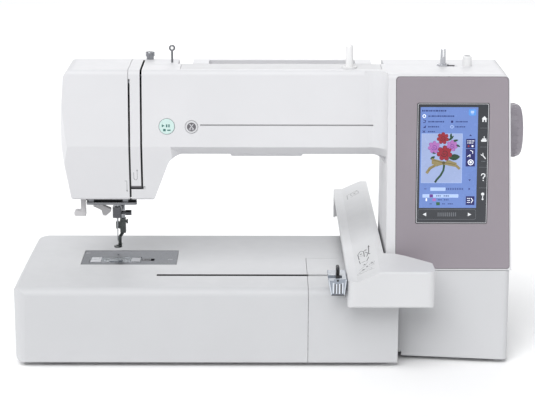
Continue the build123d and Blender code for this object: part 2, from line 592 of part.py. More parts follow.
# ---- head fittings -------------------------------------------------------
def needle_bar():
    return rod_z(NEEDLE_X, NEEDLE_Y, BAR_R, CLAMP_Z + 9.5, 296) + rod_z(NEEDLE_X, NEEDLE_Y, 5.2, 215, 226) \
        + box(NEEDLE_X, NEEDLE_X + 7.5, SHAFT_Y - 2, SHAFT_Y + 6, 217, 224)


def needle_clamp():
    x, y, z = NEEDLE_X, NEEDLE_Y, CLAMP_Z
    corners = [(x - 5.2, y - 5.6, 2), (x + 5.2, y - 5.6, 2), (x + 5.2, y + 5.6, 2), (x - 5.2, y + 5.6, 2)]
    clamp = prism_z(corners, z, z + 12.5)
    clamp -= rod_z(x, y, BAR_R, z + 9.5, z + 14)
    clamp -= rod_z(x, y, 1.0, z - 1, z + 10)
    screw = rod_x(y, CLAMP_SCREW_Z, 1.6, x + 1.1, x + 9) + rod_x(y, CLAMP_SCREW_Z, 3.0, x + 9, x + 16)
    return [clamp - rod_x(y, CLAMP_SCREW_Z, 1.6, x + 0.4, x + 6), screw]


def needle():
    x, y, z = NEEDLE_X, NEEDLE_Y, CLAMP_Z
    shank = rod_z(x, y, 1.0, z - 4.5, z + 9)
    blade = rod_z(x, y, 0.6, z - 25.5, z - 4)
    tip = Pos(x, y, z - 27.5) * Cone(0.12, 0.6, 4)
    return shank + blade + tip - Pos(x, y, z - 22.5) * Box(0.45, 3, 1.6)


def presser_bar():
    return rod_z(PRESSER_X, PRESSER_Y, PRESSER_R, FOOT_Z + 20.5, 285)


def embroidery_foot():
    x, y, z = PRESSER_X, PRESSER_Y, FOOT_Z
    block = prism_z([(x - 3.3, y - 4.6, 1.2), (x + 3.3, y - 4.6, 1.2), (x + 3.3, y + 4.6, 1.2),
                     (x - 3.3, y + 4.6, 1.2)],
                    z + 13.3, z + 30)
    block -= rod_z(x, y, PRESSER_R, z + 20.5, z + 40)
    prongs = box(NEEDLE_X - 2.6, NEEDLE_X - 1, 140, 144, z + 19.3, z + 27.3) \
        + box(NEEDLE_X + 0.6, NEEDLE_X + 2.2, 140, 144, z + 19.3, z + 27.3) \
        + box(NEEDLE_X - 2.6, x, 142, 144.5, z + 19.3, z + 27.3)
    knee, ankle = (x - 0.8, y - 2.5, z + 12.5), (NEEDLE_X + 1.6, NEEDLE_Y + 8.5, z + 9.6)
    stem = strut((x - 0.6, y - 1.5, z + 15), knee, 1.9) + strut(knee, ankle, 1.9)
    stem += strut(ankle, (*ankle[:2], z + 0.8), 1.9) + Pos(*knee) * Sphere(1.9) + Pos(*ankle) * Sphere(1.9)
    ring = rod_z(NEEDLE_X, NEEDLE_Y, 4.6, z, z + 1.6)
    ring += box(NEEDLE_X - 0.8, NEEDLE_X + 4.0, NEEDLE_Y, NEEDLE_Y + 11, z, z + 1.6)
    foot = block + prongs + stem + ring - rod_z(NEEDLE_X, NEEDLE_Y, 2.4, z - 2, z + 12)
    screw = rod_x(y, z + 26, 1.2, x + PRESSER_R + 0.1, x + 4) + rod_x(y, z + 26, 2.6, x + 4, x + 5.6)
    return [foot - rod_x(y, z + 26, 1.2, x + 1.5, x + 4), screw]


LIFTER_Y, LIFTER_Z = 160.0, 196.0


def presser_lifter():
    lever = prism_x([(LIFTER_Y - 5, LIFTER_Z - 5, 3), (LIFTER_Y + 6, LIFTER_Z - 6, 3),
                     (LIFTER_Y + 30, LIFTER_Z - 12, 3),
                     (LIFTER_Y + 40, LIFTER_Z - 8, 3), (LIFTER_Y + 36, LIFTER_Z - 2, 3),
                     (LIFTER_Y - 3, LIFTER_Z + 6, 3)],
                    113, 117)
    return lever + rod_x(LIFTER_Y, LIFTER_Z, 2.5, 112, 127.7)


def threader_lever():
    lever = box(62.8, 67.8, 96, 106, 144, 235) + prism_y(
        [(55.2, 144, 2), (67.8, 144, 2), (67.8, 149.8), (55.2, 149.8, 2)], 96, 106)
    lever += box(66, 84, 99, 103, 225, 229)
    return lever + (box(80, 90, 99, 118, 225, 231) - rod_z(85, 112, 2 + RUNNING, 220, 240))


def needle_threader():
    rod = rod_z(85, 112, 2, 150, 240) + rod_z(85, 112, 4, 231.2, 236)
    arm = [(75, 152, 0.8), (78, 157.5, 1), (90, 151, 2), (95, 149, 1), (95, 146, 1), (89.5, 141, 1),
           (86, 141.5, 1),
           (84.5, 147.5, 1)]
    return rod + prism_y(arm, 108.5, 115.5) - Pos(94, 112, 148) * Box(4, 1.4, 8)


def thread_guides():
    plate = prism_z([(71, 77, 3), (126.5, 77, 3), (126.5, 85, 1), (71, 85, 1)], 161.8, 164.4)
    plate += box(73, 79, 80, 85, 164, HEAD_BOTTOM) + box(111, 117, 80, 85, 164, HEAD_BOTTOM)
    wire = rod_z(POST_X, POST_Y, 1.2, TOP_Z, TOP_Z + 14)
    wire += Pos(POST_X, POST_Y, TOP_Z + 16.2) * Rot(90, 0, 0) * Torus(2.6, 1.0)
    return [plate, wire]


def needle_plate():
    plate = prism_z([(PLATE_X0 + 0.3, PLATE_Y0 + 0.3, 2), (PLATE_X1 - 0.3, PLATE_Y0 + 0.3, 2),
                     (PLATE_X1 - 0.3, PLATE_Y1 - 0.3, 2), (PLATE_X0 + 0.3, PLATE_Y1 - 0.3, 2)],
                    85.8, BED_TOP - 0.2)
    plate -= box(WINDOW_X0, WINDOW_X1, WINDOW_Y0, WINDOW_Y1, 80, 95)
    plate -= box(WINDOW_X1 + 0.8, 143, 107.6, 116.4, 80, 95)
    plate -= rod_z(NEEDLE_X, NEEDLE_Y, 1.4, 80, 95)
    for x, y in PLATE_SCREWS:
        plate -= rod_z(x, y, 1.7, 80, 95)
        plate -= Pos(x, y, BED_TOP - 0.7) * Cylinder(3.2, 1.2)
    return plate


def fixing_screws():
    screws = []
    for x, y in PLATE_SCREWS:
        screw = rod_z(x, y, 3.0, BED_TOP - 1.3, BED_TOP - 0.3) + rod_z(x, y, 1.6, 80, BED_TOP - 1.2)
        screws.append(screw - Pos(x, y, BED_TOP - 0.3) * Box(4.6, 0.7, 0.9))
    for x, y in ((60, 60), (60, 150), (245, 150), (470, 120), (470, 178)):
        screws.append(rod_z(x, y, 3, 4.8, FOOT_HEIGHT) - Pos(x, y, 4.8) * Box(4, 0.8, 1.2))
    return screws


def hook_cover_window():
    gap = 0.3
    lid = prism_z([(WINDOW_X0 + gap, WINDOW_Y0 + gap, 2), (WINDOW_X1 - gap, WINDOW_Y0 + gap, 2),
                   (WINDOW_X1 - gap, WINDOW_Y1 - gap, 2), (WINDOW_X0 + gap, WINDOW_Y1 - gap, 2)],
                  86.2, BED_TOP - 0.2)
    return lid - Pos((WINDOW_X0 + WINDOW_X1) / 2, WINDOW_Y0 + 3, BED_TOP) * Box(14, 3, 1.4)


def release_button():
    button = prism_z([(129.4, 108, 1.5), (139, 108, 1.5), (139, 116, 1.5), (129.4, 116, 1.5)], 84, BED_TOP)
    for x in (132, 134.2, 136.4):
        button -= box(x, x + 0.8, 109, 115, BED_TOP - 0.6, BED_TOP + 1)
    return button


# ---- carriage ------------------------------------------------------------
TILT_END_Y, TILT_RISE = 34.0, 3.4
CARRIAGE_TOP, CARRIAGE_LEFT_TOP = 116.2, 105.2
CARRIAGE_SIDE_VIEW = [(-FRONT_REACH, 76.7, 2), (-1.5, 76.7, 1), (-1.5, CLEAR_Z), (355, CLEAR_Z), (355, 73, 1),
                      (ARM_REAR, 73, 2), (ARM_REAR, CARRIAGE_TOP + TILT_RISE, 3),
                      (TILT_END_Y, CARRIAGE_TOP + TILT_RISE), (-FRONT_REACH, CARRIAGE_TOP, 2)]
CARRIAGE_PLAN = [(ARM_X0, -FRONT_REACH, 7), (448.5, -FRONT_REACH, 8), (447, 1, 4), (420, 24.5, 6),
                 (409, 31.5, 6),
                 (ARM_X1, 33, 2), (ARM_X1, ARM_REAR, 6), (ARM_X0, ARM_REAR, 4)]
CARRIAGE_WALL = 2.2


def carriage_front(lift, shrink):
    low, high = CARRIAGE_LEFT_TOP + lift, CARRIAGE_TOP + lift
    view = [(ARM_X0, 60), (450, 60), (450, high), (390, high), (366, low), (ARM_X0, low, 1)]
    return profile(inset(view, shrink) if shrink else view)


def carriage_form(side, shrink):
    """The block and arm seen from three sides; the top climbs a little behind the front face."""
    run = TILT_END_Y + FRONT_REACH
    climb = extrude(Plane.XZ.offset(FRONT_REACH) * carriage_front(0, shrink), amount=hypot(run, TILT_RISE),
                    dir=(0, run, TILT_RISE))
    level = extrude(Plane.XZ.offset(-TILT_END_Y) * carriage_front(TILT_RISE, shrink),
                    amount=400, dir=(0, 1, 0))
    plan = inset(CARRIAGE_PLAN, shrink) if shrink else CARRIAGE_PLAN
    return (climb + level) & prism_z(plan, 50, 140) & prism_x(side, 300, 500)


def carriage_cover():
    wall = CARRIAGE_WALL
    cavity = [(-FRONT_REACH + wall, 70), (-1.5 - wall, 70), (-1.5 - wall, CLEAR_Z - 0.5),
              (355 - wall, CLEAR_Z - 5),
              (355 - wall, 65), (ARM_REAR - wall, 65), (ARM_REAR - wall, 130), (-FRONT_REACH + wall, 130)]
    cover = carriage_form(CARRIAGE_SIDE_VIEW, 0) - carriage_form(cavity, wall)
    cover -= box(ARM_X0 - 1, ARM_X0 + 8, -19, 350, 88, 102.2)
    return cover - box(ARM_X0 - 1, ARM_X0 + 8, -1.5, 350, 80, 102.2)


def x_carriage():
    block = box(352, 392, 28, 76, 51, 68)
    for y in RAIL_YS:
        block -= rod_x(y, RAIL_Z, RAIL_R + RUNNING, 340, 400)
    return block + box(357, 387, SLOT_Y - 2.2, SLOT_Y + 2.2, 68, 90.6)


def x_drive_frame():
    frame = box(132, 407, 26, 92, 10, 12)
    for x in (132, 404):
        frame += box(x, x + 3, 26, 92, 10, 72)
    for y in RAIL_YS:
        frame -= rod_x(y, RAIL_Z, RAIL_R, 130, 410)
    rails = [rod_x(y, RAIL_Z, RAIL_R, 131, 408) for y in RAIL_YS]
    idler = rod_y(X_IDLER_X, X_PULLEY_Z, X_PULLEY_R, 79, 85) + rod_y(X_IDLER_X, X_PULLEY_Z, 2, 76, 90)
    bracket = box(146, 158, 86, 89, 12, 38) - rod_y(X_IDLER_X, X_PULLEY_Z, 2, 70, 95)
    return [frame + bracket, *rails, idler]


def x_drive_pulley():
    pulley = rod_y(X_PULLEY_X, X_PULLEY_Z, X_PULLEY_R, 79, 85)
    for i in range(12):
        angle = pi * i / 6
        pulley -= rod_y(X_PULLEY_X + X_PULLEY_R * cos(angle), X_PULLEY_Z + X_PULLEY_R * sin(angle),
                        0.6, 78, 86)
    return pulley + rod_y(X_PULLEY_X, X_PULLEY_Z, 1.95, 62, 85)


def arm_chassis():
    plate = box(366, 394, -22, 352, 90.6, 92)
    plate += box(392.6, 394, -22, 352, 90.6, 104)
    plate += box(371, 394, -22, -20, 90.6, 103) + box(371, 394, 350, 352, 90.6, 106)
    plate -= rod_y(Y_RAIL_X, Y_RAIL_Z, Y_RAIL_R, -30, 360)
    plate -= box(380, 393, -23, -19, 93, 104) + rod_x(Y_MOTOR_Y, Y_RAIL_Z, 2.4, 392, 395)
    motor = rod_x(Y_MOTOR_Y, Y_RAIL_Z, 10, 400, 430) + box(398, 400, -22.5, -3, 90.6, 107)
    motor += rod_x(Y_MOTOR_Y, Y_RAIL_Z, 4, 386, 391) + rod_x(Y_MOTOR_Y, Y_RAIL_Z, 1.6, 390, 399)
    return [plate, motor]


def y_rail_and_belt():
    rail = rod_y(Y_RAIL_X, Y_RAIL_Z, Y_RAIL_R, -22, 352)
    loop = belt_loop((Y_MOTOR_Y, Y_RAIL_Z), (343, Y_RAIL_Z), 4.3, 4.3, 1.0)
    idler = rod_x(343, Y_RAIL_Z, 4, 386, 391) + rod_x(343, Y_RAIL_Z, 1.6, 391, 392.6)
    return [rail, extrude(Plane.YZ.offset(386.3) * loop, amount=4.4, dir=(1, 0, 0)), idler]


CONNECTOR_Y0, CONNECTOR_Y1 = -26.0, 8.0


def hoop_connector():
    slider = box(371, 385, -16, 2, 92.4, 103.6) - rod_y(Y_RAIL_X, Y_RAIL_Z, Y_RAIL_R + RUNNING, -20, 10)
    neck = box(351, 372, -15, 1, 94, 101)
    clamp = prism_y([(338, 89.8, 1), (352.5, 89.8, 1), (354.8, 108, 1), (334.5, 108, 1)],
                    CONNECTOR_Y0, CONNECTOR_Y1)
    clamp -= box(330, 349, CONNECTOR_Y0 + 3, CONNECTOR_Y1 - 3, 93, 104.5)
    clamp -= box(330, 349.7, -22.4, -11.6, 103, 112)
    return slider + neck + clamp - rod_y(345.1, 106.2, 1.25, CONNECTOR_Y0, 0)


def hoop_latch_lever():
    lever = prism_y([(343.1, 104.4, 1), (347.1, 104.4, 1), (346.9, 119.8, 1.7), (343.3, 119.8, 1.7)], -22, -12)
    lever -= prism_y([(344.3, 110), (345.9, 110), (345.9, 117, 0.5), (344.3, 117, 0.5)], -25, -18)
    return lever + rod_y(345.1, 106.2, 1.2, -25.5, -8.5)


# ---- controls and top fittings -------------------------------------------
def push_button(x, z, r):
    button = Pos(0, 0, -1.1) * Cylinder(r, 3.8) + Pos(0, 0, -4.0) * Cylinder(r + 1.6, 2.2)
    button = fillet(button.edges().group_by(Axis.Z)[-1], 0.5)
    return on_plane(ARM_FACE, x, slope(ARM_FACE, z), button)


def start_stop_button():
    return push_button(START_X, START_Z, START_R)


def thread_cutter_button():
    return push_button(CUTTER_X, CUTTER_Z, CUTTER_R)


def led_lens():
    return prism_z([(236, 86, 2), (303.5, 86, 2), (303.5, 106, 2), (236, 106, 2)], 215.6, 217.5)


def spool_pin():
    base = rod_z(SPOOL_X, SPOOL_Y, 8.5, TOP_Z, TOP_Z + 1.6)
    base = base + rod_z(SPOOL_X, SPOOL_Y, 4.2, TOP_Z + 1, TOP_Z + 23)
    tip = Cone(4.2, 2.4, 2.6, align=(Align.CENTER, Align.CENTER, Align.MIN))
    return base + Pos(SPOOL_X, SPOOL_Y, TOP_Z + 23) * tip


def thread_tension_button():
    stem = rod_z(TENSION_X, TENSION_Y, 4.2, TOP_Z, TOP_Z + 3.6)
    cap = rod_z(TENSION_X, TENSION_Y, 5.2, TOP_Z + 3.6, TOP_Z + 8.6)
    return [stem, fillet(cap.edges().group_by(Axis.Z)[-1], 1.4)]


def winder_arm():
    arm = box(WINDER_X - 8, WINDER_X + 8, WINDER_Y - 9, WINDER_Y + 9, 298, 306)
    return arm - rod_z(WINDER_X, WINDER_Y, 2.4 + RUNNING, 290, 310)


def winder_spindle():
    x, y = WINDER_X, WINDER_Y
    pin = rod_z(x, y, 2.4, 292, TOP_Z + 6) + rod_z(x, y, 3.0, TOP_Z + 1.2, TOP_Z + 18.5)
    pin = pin + rod_z(x, y, 6.2, TOP_Z + 0.5, TOP_Z + 2) + rod_z(x, y, 6, 292, 297.6)
    pin = pin - Pos(x, y, TOP_Z + 14) * Box(1.1, 8, 10)
    return fillet(pin.edges().group_by(Axis.Z)[-1], 0.6)


def winder_stopper():
    x, y = STOPPER_X, WINDER_Y
    post = rod_z(x, y, 5, TOP_Z, TOP_Z + 11)
    return fillet(post.edges().group_by(Axis.Z)[-1], 1.2)


def winder_slot():
    return box(WINDER_X - 4, WINDER_X + 13, WINDER_Y - 3.2, WINDER_Y + 3.2, 300, 330)


def carrying_handle():
    y, z = HANDLE_Y, HANDLE_Z
    low, high = z - 5, TOP_Z - 0.2
    section = [(y - 6, low, 2), (y + 40, low, 2), (y + 40, high - 3, 4), (y + 24, high, 8), (y - 6, high, 4)]
    bar = prism_x(section, HANDLE_X0, HANDLE_X1)
    bar -= box(HANDLE_X0 + 18, HANDLE_X1 - 18, y - 10, y + 17, z - 10, 330)
    for x0, x1 in ((RECESS_X0 + 0.3, HANDLE_X0 + 1), (HANDLE_X1 - 1, RECESS_X1 - 0.3)):
        bar += rod_x(y, z, 3.0, x0, x1)
    return bar


def power_switch():
    rocker = prism_y([(527.5, 29.4, 1), (537.2, 29.4, 1), (535.6, 35, 6), (538.4, 40.6, 1), (527.5, 40.6, 1)],
                     109.6, 128.4)
    return rocker + rod_y(529, 35, 1.4, 106, 132)


def side_sockets():
    inlet = box(518, 536, 141.6, 168.4, 24.6, 45.4) - box(522, 540, 145, 165, 28, 42)
    for y, z in ((150, 33), (155, 37.5), (160, 33)):
        inlet += box(520, 527, y - 0.8, y + 0.8, z - 1.6, z + 1.6)
    ports = []
    for z in (56, 68):
        port = box(520, 535.2, 84.4, 97.6, z + 0.4, z + 5.6) - box(522, 540, 85.2, 96.8, z + 1, z + 5)
        ports.append(port + box(521, 533, 86.2, 95.8, z + 3.4, z + 4.4))
    return [inlet, *ports]


# ---- writing -------------------------------------------------------------
def export(name, shape):
    solids = shape if isinstance(shape, list) else [shape]
    moved = [Pos(-CENTRE_X, -CENTRE_Y, 0) * solid for solid in solids]
    export_step(moved[0] if len(moved) == 1 else Compound(children=moved), f"parts/{name}.step")


def main():
    os.makedirs("parts", exist_ok=True)
    bed = bed_shell()
    shell, strip, mouth = upper_shell()
    covers = {
        "bed_cover": bed_cover(bed),
        "carriage_bay_cover": carriage_bay_cover(bed),
        "face_cover": face_cover(shell),
        "front_cover": front_cover(shell, mouth) - winder_slot(),
        "rear_cover": rear_cover(shell, mouth) - winder_slot(),
        "top_cover": top_cover(shell),
        "thread_guide_strip": strip,
    }
    for name, shape in covers.items():
        export(name, shape)
    for make in (base_pan, rubber_feet, tower_base_cover, screen_panel, touch_glass, lcd_display,
                 main_frame, shaft_bushes, main_shaft, handwheel, upper_pulleys, connecting_rod,
                 take_up_lever, lower_shaft, rotary_hook, bobbin_holder, bobbin, drive_belts, drive_motors,
                 motor_pulley, control_boards, needle_bar, needle_clamp, needle, presser_bar,
                 embroidery_foot, presser_lifter, threader_lever, needle_threader, thread_guides,
                 needle_plate, fixing_screws, hook_cover_window, release_button, carriage_cover, x_carriage,
                 x_drive_frame, x_drive_pulley, arm_chassis, y_rail_and_belt, hoop_connector,
                 hoop_latch_lever, start_stop_button, thread_cutter_button, led_lens, spool_pin,
                 thread_tension_button, winder_arm, winder_spindle, winder_stopper, carrying_handle,
                 power_switch, side_sockets):
        export(make.__name__, make())


if __name__ == "__main__":
    main()
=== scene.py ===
from math import atan2, cos, pi, sin, radians

import bmesh
import bpy
from mathutils import Matrix, Vector


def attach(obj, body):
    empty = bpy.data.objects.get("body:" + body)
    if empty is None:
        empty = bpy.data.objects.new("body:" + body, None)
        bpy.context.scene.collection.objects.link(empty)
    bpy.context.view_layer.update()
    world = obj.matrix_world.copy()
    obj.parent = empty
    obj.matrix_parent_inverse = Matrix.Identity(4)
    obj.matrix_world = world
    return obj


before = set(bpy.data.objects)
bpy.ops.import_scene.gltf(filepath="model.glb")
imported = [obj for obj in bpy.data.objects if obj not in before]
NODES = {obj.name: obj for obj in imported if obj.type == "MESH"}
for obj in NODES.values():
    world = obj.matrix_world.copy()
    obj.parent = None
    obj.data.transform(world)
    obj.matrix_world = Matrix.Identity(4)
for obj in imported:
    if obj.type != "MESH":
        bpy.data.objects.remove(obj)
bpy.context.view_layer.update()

CENTRE_X, CENTRE_Y = 275.1, 167.5   # the footprint's middle, in drawing millimetres


def at(x, y, z):
    """A point given in millimetres from the bed's left end, its front and the table."""
    return Vector(((x - CENTRE_X) / 1000, (y - CENTRE_Y) / 1000, z / 1000))


# ---- materials -----------------------------------------------------------
NOISE_LOW, NOISE_HIGH = 0.3, 0.7    # where most of a noise texture lies
SPARK_DEPTH, TOOL_DEPTH = 0.00008, 0.00005
UNLIT = (0.012, 0.012, 0.014, 1)
FOLD_HEIGHT, UPPER_SLOPE, LOWER_SLOPE = 0.2295, 0.0964, -0.1297    # the head's folded front
LIT_SKIN = 0.0013                   # how far behind the front a slit's wall is still lit


def shader(name):
    made = bpy.data.materials.new(name)
    made.use_nodes = True
    tree = made.node_tree
    return made, tree, tree.nodes["Principled BSDF"]


def noise(tree, scale, detail=3.0, stretch=(1, 1, 1), rough=0.5):
    """Noise on the object's own coordinates."""
    place = tree.nodes.new("ShaderNodeTexCoord")
    mapping = tree.nodes.new("ShaderNodeMapping")
    mapping.inputs["Scale"].default_value = stretch
    grain = tree.nodes.new("ShaderNodeTexNoise")
    grain.inputs["Scale"].default_value = scale
    grain.inputs["Detail"].default_value = detail
    grain.inputs["Roughness"].default_value = rough
    tree.links.new(place.outputs["Object"], mapping.inputs["Vector"])
    tree.links.new(mapping.outputs["Vector"], grain.inputs["Vector"])
    return grain.outputs["Fac"]


def spread(tree, source, low, high, start=NOISE_LOW, end=NOISE_HIGH):
    """A texture's usual range stretched to low..high."""
    ranged = tree.nodes.new("ShaderNodeMapRange")
    ranged.inputs["From Min"].default_value = start
    ranged.inputs["From Max"].default_value = end
    ranged.inputs["To Min"].default_value = low
    ranged.inputs["To Max"].default_value = high
    tree.links.new(source, ranged.inputs["Value"])
    return ranged.outputs["Result"]


def tinted(tree, source, dark, light):
    """A texture's usual range turned into two tones."""
    ramp = tree.nodes.new("ShaderNodeValToRGB")
    ramp.color_ramp.elements[0].position = NOISE_LOW
    ramp.color_ramp.elements[0].color = (*dark, 1)
    ramp.color_ramp.elements[1].position = NOISE_HIGH
    ramp.color_ramp.elements[1].color = (*light, 1)
    tree.links.new(source, ramp.inputs["Fac"])
    return ramp.outputs["Color"]


def relief(tree, bsdf, source, strength, depth, edge):
    """Bump from a texture, laid over edges rounded by the shader."""
    bump = tree.nodes.new("ShaderNodeBump")
    bump.inputs["Strength"].default_value = strength
    bump.inputs["Distance"].default_value = depth
    tree.links.new(source, bump.inputs["Height"])
    if edge:
        bevel = tree.nodes.new("ShaderNodeBevel")
        bevel.samples = 4
        bevel.inputs["Radius"].default_value = edge
        tree.links.new(bevel.outputs["Normal"], bump.inputs["Normal"])
    tree.links.new(bump.outputs["Normal"], bsdf.inputs["Normal"])


def moulded(name, colour, rough=0.42, tint=0.03, grain=1500, strength=0.12, edge=0.0005, coat=0.0, metal=0.0):
    """Moulded plastic: a faint cloudy tone, a fine spark texture and uneven gloss."""
    made, tree, bsdf = shader(name)
    cloudy = noise(tree, 14, 4)
    dark = tuple(c * (1 - tint) for c in colour)
    light = tuple(min(c * (1 + tint * 0.5), 1) for c in colour)
    tree.links.new(tinted(tree, cloudy, dark, light), bsdf.inputs["Base Color"])
    tree.links.new(spread(tree, noise(tree, 70, 3), rough - 0.05, rough + 0.07), bsdf.inputs["Roughness"])
    relief(tree, bsdf, noise(tree, grain, 2), strength, SPARK_DEPTH, edge)
    bsdf.inputs["Metallic"].default_value = metal
    bsdf.inputs["Coat Weight"].default_value = coat
    bsdf.inputs["Coat Roughness"].default_value = 0.08
    return made


def math(tree, operation, first, second):
    node = tree.nodes.new("ShaderNodeMath")
    node.operation = operation
    for socket, value in zip(node.inputs, (first, second)):
        if isinstance(value, (int, float)):
            socket.default_value = value
        else:
            tree.links.new(value, socket)
    return node.outputs["Value"]


def unlit_gaps(look, gaps, behind_face):
    """Inner walls seen through slots are in the dark: gaps are boxes in drawing millimetres."""
    tree = look.node_tree
    bsdf = tree.nodes["Principled BSDF"]
    place = tree.nodes.new("ShaderNodeTexCoord")
    apart = tree.nodes.new("ShaderNodeSeparateXYZ")
    tree.links.new(place.outputs["Object"], apart.inputs["Vector"])
    x, y, z = (apart.outputs[axis] for axis in "XYZ")
    covered = None
    for x0, x1, y0, y1, z0, z1 in gaps:
        low, high = at(x0, y0, z0), at(x1, y1, z1)
        inside = None
        for axis, a, b in zip((x, y, z), low, high):
            held = math(tree, "MULTIPLY", math(tree, "GREATER_THAN", axis, a),
                        math(tree, "LESS_THAN", axis, b))
            inside = held if inside is None else math(tree, "MULTIPLY", inside, held)
        if behind_face and (x0, x1) == HEAD_HOLLOW[:2]:
            rise = math(tree, "SUBTRACT", z, FOLD_HEIGHT)
            front = math(tree, "MAXIMUM", math(tree, "MULTIPLY", rise, UPPER_SLOPE),
                         math(tree, "MULTIPLY", rise, LOWER_SLOPE))
            depth = math(tree, "SUBTRACT", math(tree, "SUBTRACT", y, at(0, 68, 0).y), front)
            inside = math(tree, "MULTIPLY", inside, math(tree, "GREATER_THAN", depth, LIT_SKIN))
        covered = inside if covered is None else math(tree, "MAXIMUM", covered, inside)
    joined = tree.nodes.new("ShaderNodeMix")
    joined.data_type = "RGBA"
    colour_in = bsdf.inputs["Base Color"]
    tree.links.new(covered, joined.inputs["Factor"])
    tree.links.new(colour_in.links[0].from_socket, joined.inputs[6])
    joined.inputs[7].default_value = UNLIT
    tree.links.new(joined.outputs[2], colour_in)
    return look


HEAD_HOLLOW = (100, 142, 60, 170.5, 171.2, 309.3)
SLITS = [(119.15, 121.25, 60, 139.7, 160, 302.9), (132.15, 134.25, 60, 139.7, 183, 330),
         (119.15, 136.55, 60, 139.7, 180.45, 182.55)]
WINDER_GAP = (459.45, 476.55, 104.75, 111.25, 305, 312.46)
BED_SLOT = (148.95, 316.0, 48.95, 55.05, 80, 88.56)


def machined(name, colour, rough=0.28, stretch=(1, 1, 40), grain=160, strength=0.15, tint=0.12, edge=0.0002):
    """Metal with fine turning or brushing marks along one direction."""
    made, tree, bsdf = shader(name)
    marks = noise(tree, grain, 4, stretch, 0.6)
    dark = tuple(c * (1 - tint) for c in colour)
    tree.links.new(tinted(tree, marks, dark, colour), bsdf.inputs["Base Color"])
    tree.links.new(spread(tree, noise(tree, grain * 0.6, 3, stretch), rough - 0.07, rough + 0.1),
                   bsdf.inputs["Roughness"])
    relief(tree, bsdf, marks, strength, TOOL_DEPTH, edge)
    bsdf.inputs["Metallic"].default_value = 1.0
    return made


def clear(name, colour, alpha_rough=0.05, transmission=0.9):
    """Clear plastic with a faint haze."""
    made, tree, bsdf = shader(name)
    cloudy = noise(tree, 40, 3)
    dark = tuple(c * 0.93 for c in colour)
    tree.links.new(tinted(tree, cloudy, dark, colour), bsdf.inputs["Base Color"])
    tree.links.new(spread(tree, noise(tree, 90, 2), alpha_rough, alpha_rough + 0.05),
                   bsdf.inputs["Roughness"])
    bsdf.inputs["Transmission Weight"].default_value = transmission
    bsdf.inputs["IOR"].default_value = 1.45
    return made


def lit(name, colour, glow=0.35, rough=0.25, coat=0.4):
    """A printed or lit area behind the display's glass."""
    made, tree, bsdf = shader(name)
    shade = tinted(tree, noise(tree, 60, 3), tuple(c * 0.95 for c in colour),
                   tuple(min(c * 1.03, 1) for c in colour))
    tree.links.new(shade, bsdf.inputs["Base Color"])
    tree.links.new(shade, bsdf.inputs["Emission Color"])
    bsdf.inputs["Emission Strength"].default_value = glow
    tree.links.new(spread(tree, noise(tree, 200, 2), rough - 0.04, rough + 0.04), bsdf.inputs["Roughness"])
    bsdf.inputs["Coat Weight"].default_value = coat
    bsdf.inputs["Coat Roughness"].default_value = 0.06
    return made


SHELL_GAPS = [HEAD_HOLLOW, WINDER_GAP] + SLITS
WHITE = unlit_gaps(moulded("white_shell", (0.684, 0.684, 0.70), 0.46, 0.02), SHELL_GAPS, True)
# Painted shade: the top cover, bed, tower base and carriage take darker copies of the one shell white,
# standing in for the lesser light on their faces.
WHITE_TOP_PAINTED_SHADE = moulded("white_top_painted_shade", (0.60, 0.60, 0.612), 0.46, 0.02)
WHITE_BED_PAINTED_SHADE = unlit_gaps(moulded("white_bed_painted_shade", (0.57, 0.575, 0.588), 0.50, 0.02), [BED_SLOT], False)
WHITE_BASE_PAINTED_SHADE = moulded("white_base_painted_shade", (0.565, 0.57, 0.583), 0.50, 0.02)
WHITE_CARRIAGE_PAINTED_SHADE = moulded("white_carriage_painted_shade", (0.64, 0.644, 0.655), 0.46, 0.02)
# Painted light: the base pan is made pale to lift the shadow seen in the gap under the bed.
PAN_PAINTED_LIGHT = moulded("pan_grey_painted_light", (0.66, 0.66, 0.68), 0.6, 0.05, 700, 0.25)
MAUVE = moulded("panel_mauve", (0.29, 0.258, 0.287), 0.48, 0.03)
WHEEL = moulded("wheel_mauve", (0.285, 0.262, 0.295), 0.44, 0.04)
BEZEL = moulded("bezel_dark", (0.021, 0.025, 0.033), 0.16, 0.15, 900, 0.02, 0.0003, 0.6)
SCREEN = lit("screen_ground", (0.118, 0.195, 0.47), 0.25)
# This dark colour also paints shade on the sheets behind the thread slits and in the head's mouth.
DARK = moulded("dark_plastic", (0.028, 0.029, 0.033), 0.42, 0.15, 1100, 0.2)
CHARCOAL = moulded("charcoal_plastic", (0.075, 0.078, 0.088), 0.38, 0.12, 1100, 0.2)
GLOSS_WHITE = moulded("gloss_white", (0.82, 0.82, 0.82), 0.2, 0.02, 600, 0.03, 0.0004, 0.5)
RUBBER = moulded("foot_rubber", (0.055, 0.055, 0.06), 0.75, 0.2, 500, 0.4)
BELT = moulded("belt_rubber", (0.018, 0.018, 0.02), 0.7, 0.2, 500, 0.4)
BOARD = moulded("board_green", (0.03, 0.17, 0.08), 0.4, 0.25, 260, 0.5, 0)
STEEL = machined("ground_steel", (0.24, 0.245, 0.26))
DARK_STEEL = machined("dark_steel", (0.07, 0.072, 0.08), 0.34)
CHROME = machined("bright_chrome", (0.34, 0.35, 0.37), 0.14, (1, 1, 20), 120, 0.05, 0.08)
CLAMP_STEEL = machined("clamp_steel", (0.125, 0.128, 0.138), 0.24)
SPINDLE = machined("spindle_chrome", (0.62, 0.63, 0.66), 0.18, (1, 1, 20), 120, 0.05, 0.08)
GREEN_STEEL = machined("foot_steel", (0.105, 0.114, 0.112), 0.26)
PLATE = machined("plate_steel", (0.135, 0.142, 0.158), 0.36, (30, 1, 1), 190, 0.2, 0.14)
CAST = machined("cast_alloy", (0.20, 0.20, 0.21), 0.55, (1, 1, 1), 700, 0.5, 0.2)
BRASS = machined("bush_brass", (0.62, 0.42, 0.18), 0.35)
WINDOW = clear("window_clear", (0.80, 0.86, 0.93))
